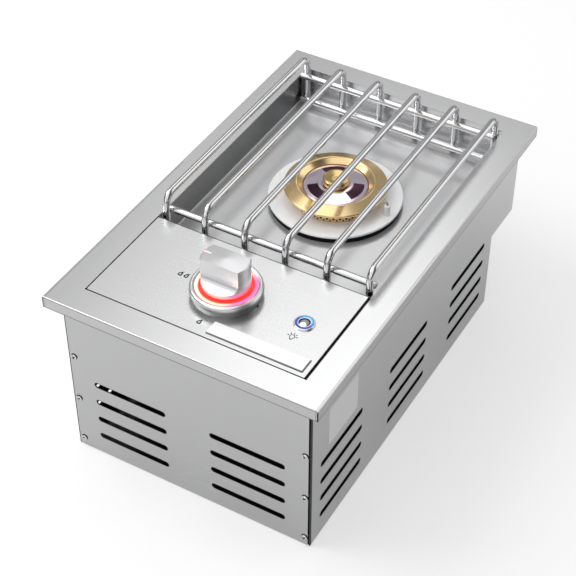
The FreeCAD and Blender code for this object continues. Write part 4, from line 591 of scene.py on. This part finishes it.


# A piece from one or more grids: seams and poles are merged and its faces are turned outwards.
# Each of its levels is a named value per point, for a material to read. A piece without a body is
# left unattached
def makePiece(name, grids, material, body, slot, smoothAngle=35.0, **levels):
    points, faces, count = [], [], 0
    for grid, closeRows, closeColumns in grids:
        rows, columns = grid.shape[:2]
        faces.append(gridFaces(rows, columns, closeRows, closeColumns, count))
        points.append(grid.reshape(-1, 3))
        count += rows * columns
    mesh = bpy.data.meshes.new(name)
    mesh.from_pydata(np.concatenate(points).tolist(), [], np.concatenate(faces).tolist())
    for label, values in levels.items():
        mesh.attributes.new(label, "FLOAT", "POINT").data.foreach_set("value", np.ravel(values))
    shaped = bmesh.new()
    shaped.from_mesh(mesh)
    bmesh.ops.remove_doubles(shaped, verts=shaped.verts, dist=1e-6)
    bmesh.ops.recalc_face_normals(shaped, faces=shaped.faces)
    shaped.to_mesh(mesh)
    shaped.free()
    mesh.polygons.foreach_set("use_smooth", np.ones(len(mesh.polygons), dtype=bool))
    mesh.set_sharp_from_angle(angle=math.radians(smoothAngle))
    mesh.materials.append(material)
    piece = bpy.data.objects.new(name, mesh)
    bpy.context.scene.collection.objects.link(piece)
    if body:
        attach(piece, body)
    return piece


# A grid from closed outlines in the plane, each with its level
def stacked(*rings):
    return np.stack([np.column_stack([ring, np.full(len(ring), level)]) for ring, level in rings])


mark = {"lift": 0.1 * mm, "tone": (0.02, 0.02, 0.022), "shift": 0.2, "grain": 2500.0, "roughness": 0.5,
        "size": 3.9 * mm, "wide": 0.95, "taper": 1.6, "lean": 0.32, "leanFrom": 0.4,
        "inner": 0.42, "innerDrop": 0.18, "count": 40,
        "places": [(-57.5, -159.8), (-50.4, -159.6), (-2.2, -210.9)]}
markTop = rimTop + mark["lift"]
inkShade = Shade("printedMark", Roughness=mark["roughness"])
inkGrain = inkShade.noise(inkShade.place, mark["grain"])
inkShade.set(Base_Color=inkShade.mix(inkGrain, *shades(mark["tone"], mark["shift"])))


# A printed line: a flat band between two outlines, from the rim up to the top of the print
def inlayGrid(outer, inner):
    return stacked((outer, markTop), (inner, markTop), (inner, rimTop), (outer, rimTop))


# drop outline: x = wide * sin(t) * |sin(t / 2)|^taper, y = cos(t), its tip bent to the right by
# lean * (y + leanFrom)^2, and all of it times the size
def dropOutline(centre, size):
    t = np.linspace(0, 2 * np.pi, mark["count"], endpoint=False)
    y = np.cos(t)
    x = mark["wide"] * np.sin(t) * np.abs(np.sin(t / 2)) ** mark["taper"]
    x = x + mark["lean"] * (y + mark["leanFrom"]) ** 2
    return np.column_stack([centre[0] + size * x, centre[1] + size * y])


drops = []
for x, y in mark["places"]:
    outer = dropOutline((x * mm, y * mm), mark["size"])
    inner = dropOutline((x * mm, y * mm - mark["size"] * mark["innerDrop"]), mark["size"] * mark["inner"])
    drops.append((inlayGrid(outer, inner), True, True))
makePiece("flameMarks", drops, inkShade.material, "unit", "dark_steel")

lamp = {"place": (88.5, -184.0), "bulb": 3.0 * mm, "line": 0.8 * mm, "gap": 0.7 * mm, "ray": 2.2 * mm,
        "rays": 5, "fan": 160.0, "neckFrom": 0.2, "neckWaist": 0.45, "neckLong": 0.7, "count": 36}


# bulb outline: a circle whose lower part is drawn down into a neck
def bulbOutline(centre, radius):
    t = np.linspace(0, 2 * np.pi, lamp["count"], endpoint=False)
    neck = np.clip(-np.cos(t) - lamp["neckFrom"], 0, 1)
    x = np.sin(t) * (1 - lamp["neckWaist"] * neck)
    y = np.cos(t) - lamp["neckLong"] * neck
    return np.column_stack([centre[0] + radius * x, centre[1] + radius * y])


# one ray: a thin flat bar that points away from the bulb
def rayGrid(centre, angle):
    out = np.array([math.sin(angle), math.cos(angle)])
    side = np.array([out[1], -out[0]]) * lamp["line"] / 2
    start = centre + out * (lamp["bulb"] + lamp["gap"])
    end = start + out * lamp["ray"]
    outline = np.array([start - side, start + side, end + side, end - side])
    middle = np.repeat(outline.mean(axis=0)[None], len(outline), axis=0)
    return inlayGrid(middle, outline)


lampAt = np.array(lamp["place"]) * mm
outer, inner = bulbOutline(lampAt, lamp["bulb"]), bulbOutline(lampAt, lamp["bulb"] - lamp["line"])
lampGrids = [(inlayGrid(outer, inner), True, True)]
for k in range(lamp["rays"]):
    angle = math.radians(lamp["fan"] * (k / (lamp["rays"] - 1) - 0.5))
    lampGrids.append((rayGrid(lampAt, angle), False, True))
makePiece("lampMark", lampGrids, inkShade.material, "unit", "dark_steel")


# A rounded rectangle: quarter circles joined by straight sides, anticlockwise from the lower right
def roundedRectangle(low, high, radius, steps=6):
    turn = np.linspace(0, np.pi / 2, steps)
    left, right, front, back = low[0] + radius, high[0] - radius, low[1] + radius, high[1] - radius
    corners = []
    for quarter, (x, y) in enumerate(((right, front), (right, back), (left, back), (left, front))):
        angle = turn + (quarter - 1) * np.pi / 2
        corners.append(np.column_stack([x + radius * np.cos(angle), y + radius * np.sin(angle)]))
    return np.concatenate(corners)


# A plate: its outline at the foot and at the top, an edge round, and a flat closed top and underside
def plateGrid(low, high, form):
    low, high = np.array(low), np.array(high)
    outline = roundedRectangle(low, high, form["radius"])
    inner = roundedRectangle(low + form["edge"], high - form["edge"], form["radius"])
    point = np.repeat(((low + high) / 2)[None], len(outline), axis=0)
    return stacked((point, 0), (outline, 0), (outline, form["thick"] - form["edge"]),
                   (inner, form["thick"]), (point, form["thick"]))


plate = {"low": (11.5, -222.6), "high": (122.0, -203.5), "radius": 1.2 * mm, "thick": 0.5 * mm,
         "edge": 0.15 * mm, "line": 1.8 * mm, "lineTone": 0.12, "white": (0.95, 0.95, 0.95),
         "shift": 0.02, "grain": 900.0, "roughness": 0.35}

# The label plate is white, with a painted shadow line along its right and front edges
plateLow, plateHigh = np.array(plate["low"]) * mm, np.array(plate["high"]) * mm
plateShade = Shade("labelPlate", Roughness=plate["roughness"])
plateGrain = plateShade.noise(plateShade.place, plate["grain"])
plateRight = (plateHigh[0] - plateShade.axis("X")) < plate["line"]
plateFront = (plateShade.axis("Y") - plateLow[1]) < plate["line"]
plateShadowLine = 1.0 - (1.0 - plateRight) * (1.0 - plateFront)
plateWhite = plateShade.mix(plateGrain, *shades(plate["white"], plate["shift"]))
plateShade.set(Base_Color=plateShade.mix(plateShadowLine, plateWhite, grey(plate["lineTone"])))
labelGrid = plateGrid(plateLow, plateHigh, plate)
labelGrid[:, :, 2] += rimTop
makePiece("labelPlate", [(labelGrid, False, True)], plateShade.material, "unit", "brushed_stainless")

sticker = {"low": (-209.5, 121.5), "high": (-149.5, 172.0), "radius": 1.5 * mm, "thick": 0.12 * mm,
           "edge": 0.04 * mm, "tone": (0.7, 0.7, 0.7), "shift": 0.06, "grain": 700.0, "folds": 25.0,
           "bump": 0.2, "depth": 0.4 * mm, "roughness": 0.42}

# The sticker lies on the right side, its corners given as Y and Z
stickerShade = Shade("sideSticker", Roughness=sticker["roughness"])
stickerGrain = stickerShade.noise(stickerShade.place, sticker["grain"])
stickerFold = stickerShade.noise(stickerShade.place, sticker["folds"])
stickerMixed = (stickerGrain + stickerFold) * 0.5
stickerShade.set(Base_Color=stickerShade.mix(stickerMixed, *shades(sticker["tone"], sticker["shift"])),
                 Normal=stickerShade.bump(stickerFold, sticker["bump"], sticker["depth"]))
flat = plateGrid(np.array(sticker["low"]) * mm, np.array(sticker["high"]) * mm, sticker)
stickerGrid = np.stack([caseHalf + flat[..., 2], flat[..., 0], flat[..., 1]], axis=-1)
makePiece("sideSticker", [(stickerGrid, False, True)], stickerShade.material, "unit", "brushed_stainless")

pointer = {"long": 8.4 * mm, "wide": 1.5 * mm, "sink": 0.5 * mm, "thick": 0.6 * mm, "radius": 0.4 * mm,
           "edge": 0.1 * mm, "from": 1.0 * mm, "grain": 800.0, "roughness": 0.3, "strength": 0.35,
           "tints": ((0.95, 0.62, 0.66, 1.0), (1.0, 0.7, 0.72, 1.0))}

# The pointer's inlay lies in the knob's top, from near its left edge inwards
knobLow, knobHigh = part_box("burner_knob")
pointerShade = Shade("pointerEnamel", Roughness=pointer["roughness"])
pointerCloud = pointerShade.noise(pointerShade.place, pointer["grain"])
pointerTint = pointerShade.mix(pointerCloud, *pointer["tints"])
# painted glow: the pointer's inlay gives off light, though it holds no lamp
pointerShade.set(Base_Color=pointerTint, Emission_Color=pointerTint, Emission_Strength=pointer["strength"])
pointerLeft = knobLow.x + pointer["from"]
pointerGrid = plateGrid((pointerLeft, knobCentre.y - pointer["wide"] / 2),
                        (pointerLeft + pointer["long"], knobCentre.y + pointer["wide"] / 2), pointer)
pointerGrid[:, :, 2] += knobHigh.z - pointer["sink"] - pointer["thick"]
makePiece("pointerInlay", [(pointerGrid, False, True)], pointerShade.material, "knob", "satin_knob")

guide = {"inner": 22.0 * mm, "outer": 26.95 * mm, "low": 231.2 * mm, "high": 233.2 * mm, "around": 72}


# The light guide's flange under the knob's edge: a flat ring with a square section
def flangeGrid():
    turn = np.linspace(0, 2 * np.pi, guide["around"], endpoint=False)
    circle = np.column_stack([np.cos(turn), np.sin(turn)])
    inner, outer = (np.array(knobCentre.xy) + guide[side] * circle for side in ("inner", "outer"))
    low, high = guide["low"], guide["high"]
    return stacked((inner, high), (outer, high), (outer, low), (inner, low))


makePiece("guideFlange", [(flangeGrid(), True, True)], finish["knobGlow"], "unit", "light_guide")

strip = {"wide": 2.6 * mm, "thick": 1.0 * mm, "radius": 0.3 * mm, "edge": 0.1 * mm}

# At the left the front's edge closes the joint with the side
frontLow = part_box("front_panel")[0]
flat = plateGrid((-caseHalf, frontLow.z), (-caseHalf + strip["wide"], rimLow.z), strip)
stripGrid = np.stack([flat[..., 0], frontLow.y + strip["thick"] - flat[..., 2], flat[..., 1]], axis=-1)
makePiece("leftJointStrip", [(stripGrid, False, True)], finish["frontSheet"], "unit", "brushed_stainless")
print("marks, plate, sticker, pointer, guide flange and joint strip made")

screw = {"head": 4.0 * mm, "high": 2.3 * mm, "shank": 1.8 * mm, "long": 5.0 * mm, "around": 40,
         "rings": 12, "domeEnd": 0.96, "curve": 0.88, "brim": 0.38, "rim": 0.26,
         "armWide": 0.85 * mm, "armLong": 2.3 * mm, "deep": 1.3 * mm, "sideSlope": 0.25 * mm,
         "endSlope": 0.5 * mm, "cutAbove": 0.3, "cadLong": 6 * mm, "apart": 11 * mm,
         "firstTurn": 0.4, "turnStep": 1.3}


# head profile: height = high * dome, with dome = sqrt(1 - (curve r / R)^2) stretched to run from 1 down
# to the brim. Its rim falls to the sheet, and then comes the shank
def screwProfile():
    dome = np.linspace(0, screw["domeEnd"], screw["rings"])
    crown = np.sqrt(1 - (screw["curve"] * dome) ** 2)
    crown = (crown - crown[-1]) / (1 - crown[-1]) * (1 - screw["brim"]) + screw["brim"]
    rim = screw["high"] * screw["rim"]
    r = np.concatenate([dome * screw["head"], [screw["head"]] * 2, [screw["shank"]] * 2, [0.0]])
    h = np.concatenate([crown * screw["high"], [rim, 0.0, 0.0], [-screw["long"]] * 2])
    return r, h


# The cross recess lowers the dome where |x| < armWide / 2 and |y| < armLong, or the other way round
def screwGrid(seat, outward, turn):
    r, h = screwProfile()
    around = np.linspace(0, 2 * np.pi, screw["around"], endpoint=False)
    x, y = r[:, None] * np.cos(around), r[:, None] * np.sin(around)

    def arm(a, b):
        wide = np.clip((screw["armWide"] / 2 - np.abs(a)) / screw["sideSlope"] + 0.5, 0, 1)
        long = np.clip((screw["armLong"] - np.abs(b)) / screw["endSlope"] + 0.5, 0, 1)
        return wide * long

    recess = np.maximum(arm(x, y), arm(y, x)) * (h > screw["high"] * screw["cutAbove"])[:, None]
    height = h[:, None] - recess * screw["deep"]
    across = outward.orthogonal().normalized()
    upward = outward.cross(across)
    c, s = math.cos(turn), math.sin(turn)
    u, v = np.array(across * c + upward * s), np.array(upward * c - across * s)
    return np.array(seat) + x[..., None] * u + y[..., None] * v + height[..., None] * np.array(outward)


# Each screw's place is the middle of one group of points of the CAD node. It points outwards along
# the axis on which the group is as long as a head with its shank
def screwSeats(node):
    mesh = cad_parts[node].data
    points = np.empty(len(mesh.vertices) * 3)
    mesh.vertices.foreach_get("co", points)
    points = points.reshape(-1, 3)
    seats = []
    while len(points):
        near = np.linalg.norm(points - points[0], axis=1) < screw["apart"]
        low, high = points[near].min(axis=0), points[near].max(axis=0)
        middle = (low + high) / 2
        axis = int(np.argmin(np.abs((high - low) - (screw["high"] + screw["cadLong"]))))
        sign = 1.0 if middle[axis] > 0 else -1.0
        outward = Vector([sign if k == axis else 0.0 for k in range(3)])
        middle[axis] = (high if sign > 0 else low)[axis] - sign * screw["high"]
        seats.append((middle, outward))
        points = points[~near]
    return seats


seats = screwSeats("case_screws")
heads = [(screwGrid(seat, outward, screw["firstTurn"] + screw["turnStep"] * k), False, True)
         for k, (seat, outward) in enumerate(seats)]
reach = np.tile(np.repeat(screwProfile()[0] / screw["head"], screw["around"]), len(seats))
caseScrewHeads = makePiece("caseScrewHeads", heads, finish["screw"], "unit", "screw_steel", 40.0, reach=reach)
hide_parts("case_screws")
print(len(seats), "case screws made")


weld = {"long": 5.0 * mm, "wide": 1.7 * mm, "rows": 7, "around": 10, "swell": 0.12, "waves": 3,
        "out": 0.55, "bars": 6, "rods": ["grate_front_upper_rod", "grate_front_lower_rod",
                                         "grate_back_upper_rod", "grate_back_lower_rod"]}


# bead: (long / 2 * cos u, wide * sin u * cos v, wide * sin u * sin v), its width swollen by a slow
# wave: 1 + swell * sin(waves * u + phase)
def beadGrid(centre, phase):
    u = np.linspace(0, np.pi, weld["rows"])[:, None]
    v = np.linspace(0, 2 * np.pi, weld["around"], endpoint=False)[None]
    wide = weld["wide"] * np.sin(u) * (1 + weld["swell"] * np.sin(weld["waves"] * u + phase))
    x = -weld["long"] / 2 * np.cos(u) + 0 * v
    return np.stack([centre[0] + x, centre[1] + wide * np.cos(v), centre[2] + wide * np.sin(v)], axis=-1)


beads = []
for k in range(weld["bars"]):
    low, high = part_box("grate_bar_%d" % (k + 1))
    barX, radius = (low.x + high.x) / 2, (high.x - low.x) / 2
    for rod in weld["rods"]:
        low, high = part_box(rod)
        rodY, rodZ = (low.y + high.y) / 2, (low.z + high.z) / 2
        touchY = rodY - radius if "front" in rod else rodY + radius
        for side in (-1, 1):
            place = (barX, touchY, rodZ + side * radius * weld["out"])
            beads.append((beadGrid(place, k + side), False, True))
makePiece("grateWelds", beads, finish["rod"], "cooking_grate", "polished_rod", 60.0)
print(len(beads), "weld beads made")


spring = {"wire": 0.45 * mm, "radius": 6.2 * mm, "turns": 5, "around": 8, "steps": 181}


# coil: centre line = (R cos t, R sin t, climb * t), its section a circle across the line, its ends
# closed
def springGrid(foot, top):
    t = np.linspace(0, 2 * np.pi * spring["turns"], spring["steps"])
    climb = (top.z - foot.z) / t[-1]
    out = np.column_stack([np.cos(t), np.sin(t), 0 * t])
    along = np.column_stack([-np.sin(t), np.cos(t), 0 * t + climb / spring["radius"]])
    up = np.cross(out, along / np.linalg.norm(along, axis=1)[:, None])
    line = np.array(foot) + spring["radius"] * out + np.column_stack([0 * t, 0 * t, climb * t])
    s = np.linspace(0, 2 * np.pi, spring["around"], endpoint=False)[None, :, None]
    tube = line[:, None] + spring["wire"] * (np.cos(s) * out[:, None] + np.sin(s) * up[:, None])
    ends = [np.repeat(line[k][None, None], spring["around"], axis=1) for k in (0, -1)]
    return np.concatenate([ends[0], tube, ends[1]])


springLow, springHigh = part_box("stem_spring")
springFoot = Vector((knobCentre.x, knobCentre.y, springLow.z + spring["wire"]))
springTop = Vector((knobCentre.x, knobCentre.y, springHigh.z - spring["wire"]))
returnSpring = makePiece("returnSpring", [(springGrid(springFoot, springTop), False, True)],
                         finish["darkSteel"], None, "dark_steel", 60.0)
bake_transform(returnSpring)
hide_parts("stem_spring")
print("return spring made")


leadThick = 3 * mm
leadForm = {"order": 3, "steps": 10, "around": 4, "roughness": 0.5}
leads = {
    "igniter_lead": {
        "colour": (0.42, 0.06, 0.05), "slot": "lead_silicone", "length": 0.3627,
        "route": [(67, -159, 4), (67, -139, 4), (72, -104, 2.9), (82, -58, 2.7), (87, -10, 2.7),
                  (82, 32, 6), (73, 52, 34), (67, 61, 76), (64, 66, 116), (67, 64, 149), (67, 64, 169)]},
    "switch_lead": {
        "colour": (0.02, 0.02, 0.02), "slot": "lead_black", "length": 0.2348,
        "route": [(90, -159, 4), (90, -139, 4), (93, -122, 14), (96, -112, 42), (97, -113, 84),
                  (95, -126, 124), (92, -146, 154), (90, -162, 176), (90, -162, 196)]},
    "knob_light_lead": {
        "colour": (0.02, 0.02, 0.02), "slot": "lead_black", "length": 0.2543,
        "route": [(20.95, -142.05, 223), (20.95, -142.05, 203), (28, -134, 178), (38, -124, 144),
                  (50, -115, 102), (59, -113, 60), (63, -118, 26), (62.5, -139, 4), (62.5, -159, 4)]},
}


# A lead is a round curve along its route, whose points are in millimetres
def makeLead(node, wire):
    first, *others = node.split("_")
    curve = bpy.data.curves.new(first + "".join(word.title() for word in others), "CURVE")
    curve.dimensions = "3D"
    spline = curve.splines.new("NURBS")
    route = np.array(wire["route"]) * mm
    spline.points.add(len(route) - 1)
    spline.points.foreach_set("co", np.column_stack([route, np.ones(len(route))]).ravel())
    spline.order_u = leadForm["order"]
    spline.use_endpoint_u = True
    spline.resolution_u = leadForm["steps"]
    curve.bevel_depth = leadThick / 2
    curve.bevel_resolution = leadForm["around"]
    curve.use_fill_caps = True
    curve.materials.append(softPlastic(curve.name + "Jacket", wire["colour"], leadForm["roughness"]))
    lead = bpy.data.objects.new(curve.name, curve)
    bpy.context.scene.collection.objects.link(lead)
    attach(lead, "unit")
    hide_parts(node)
    tuple(v * mm for v in wire["route"][0])


for node, wire in leads.items():
    makeLead(node, wire)
print(len(leads), "leads made")

stage = {"floorTone": 0.6, "floorLift": 0.4, "floorHalf": 3.0, "floorDrop": 0.5 * mm, "floorRoughness": 0.9,
         "roomLight": 0.8, "roomDark": 0.1, "roomMid": 0.33, "roomBright": 1.3,
         "windowAt": (-25.4, 48.4), "windowEdge": (0.98, 0.99), "glowEdge": (0.4, 0.7),
         "frontAt": (180.0, 42.0), "frontEdge": (0.62, 0.85), "roomFront": 0.9,
         "zenithAt": (-55.0, 70.0), "zenithEdge": (0.93, 0.975), "roomZenith": 1.0,
         "rightAt": (50.0, 20.0), "rightEdge": (0.88, 0.94), "roomRight": 0.95}

floorMesh = bpy.data.meshes.new("studioFloor")
half, drop = stage["floorHalf"], -stage["floorDrop"]
floorMesh.from_pydata([(-half, -half, drop), (half, -half, drop), (half, half, drop), (-half, half, drop)],
                      [], [(0, 1, 2, 3)])
studioFloor = bpy.data.objects.new("studioFloor", floorMesh)
bpy.context.scene.collection.objects.link(studioFloor)
floorShade = Shade("floorPaint", Base_Color=grey(stage["floorTone"]), Roughness=stage["floorRoughness"])
floorSeen = floorShade.node("ShaderNodeLightPath", {}, {}, "Is Camera Ray")
floorShade.set(Emission_Color=(1, 1, 1, 1), Emission_Strength=floorSeen * stage["floorLift"])
floorMesh.materials.append(floorShade.material)

world = bpy.data.worlds.new("studioWorld")
bpy.context.scene.world = world
room = Shade("studioRoom", world)
direction = room.node("ShaderNodeTexCoord", {}, {}, "Generated")


# direction of a lamp from its bearing, in degrees from +Y towards +X, and its height above the floor
def bearing(turn, rise):
    turn, rise = math.radians(turn), math.radians(rise)
    return (math.sin(turn) * math.cos(rise), math.cos(turn) * math.cos(rise), math.sin(rise))


# a soft zone of the room: 0 at its edge and 1 at its heart
def zone(at, edge):
    lean = room.node("ShaderNodeVectorMath", {"operation": "DOT_PRODUCT"},
                     {0: direction, 1: bearing(*stage[at])}, "Value")
    return lean.smooth(*stage[edge])


# What a polished surface mirrors is a dark room with a glow round its window, and four bright zones.
# All else is lit evenly, and the camera sees white
mirrored = stage["roomDark"] + (stage["roomMid"] - stage["roomDark"]) * zone("windowAt", "glowEdge")
for at, edge, high in (("windowAt", "windowEdge", "roomBright"), ("frontAt", "frontEdge", "roomFront"),
                       ("zenithAt", "zenithEdge", "roomZenith"), ("rightAt", "rightEdge", "roomRight")):
    mirrored = mirrored + stage[high] * zone(at, edge)
glossy, cameraRay, throughRay = (room.node("ShaderNodeLightPath", {}, {}, "Is %s Ray" % kind)
                                 for kind in ("Glossy", "Camera", "Transmission"))
inRoom = room.node("ShaderNodeMix", {}, {0: glossy, 2: stage["roomLight"], 3: mirrored})
seen = cameraRay.math("MAXIMUM", throughRay)
room.set(Color=(1, 1, 1, 1), Strength=room.node("ShaderNodeMix", {}, {0: seen, 2: inRoom, 3: 1.0}))

overhead = {"place": (-1.15, -0.45, 1.7), "target": (0, 0, 0.1), "size": 1.2, "power": 16}
lightData = bpy.data.lights.new("overheadLight", "AREA")
lightData.shape, lightData.energy = "RECTANGLE", overhead["power"]
lightData.size = lightData.size_y = overhead["size"]
light = bpy.data.objects.new("overheadLight", lightData)
light.location = overhead["place"]
lightAim = Vector(overhead["target"]) - Vector(overhead["place"])
light.rotation_euler = lightAim.to_track_quat("-Z", "Y").to_euler()
bpy.context.scene.collection.objects.link(light)

camera = {"place": (0.6214, -1.11696, 1.2604), "forward": (-0.370, 0.642, -0.671),
          "right": (0.866, 0.499, 0.001), "lens": 94.92, "sensor": 36.0}

# The photo's camera, as it was solved from the object's straight edges
forward = Vector(camera["forward"]).normalized()
right = Vector(camera["right"])
right = (right - forward * right.dot(forward)).normalized()
up = right.cross(forward)
view = bpy.data.cameras.new("photoView")
view.lens, view.sensor_width = camera["lens"], camera["sensor"]
viewer = bpy.data.objects.new("photoView", view)
viewer.matrix_world = Matrix((
    (right.x, up.x, -forward.x, camera["place"][0]), (right.y, up.y, -forward.y, camera["place"][1]),
    (right.z, up.z, -forward.z, camera["place"][2]), (0, 0, 0, 1)))
bpy.context.scene.collection.objects.link(viewer)
bpy.context.scene.camera = viewer
bpy.context.scene.view_settings.view_transform = "Standard"
print("stage, light and camera set")
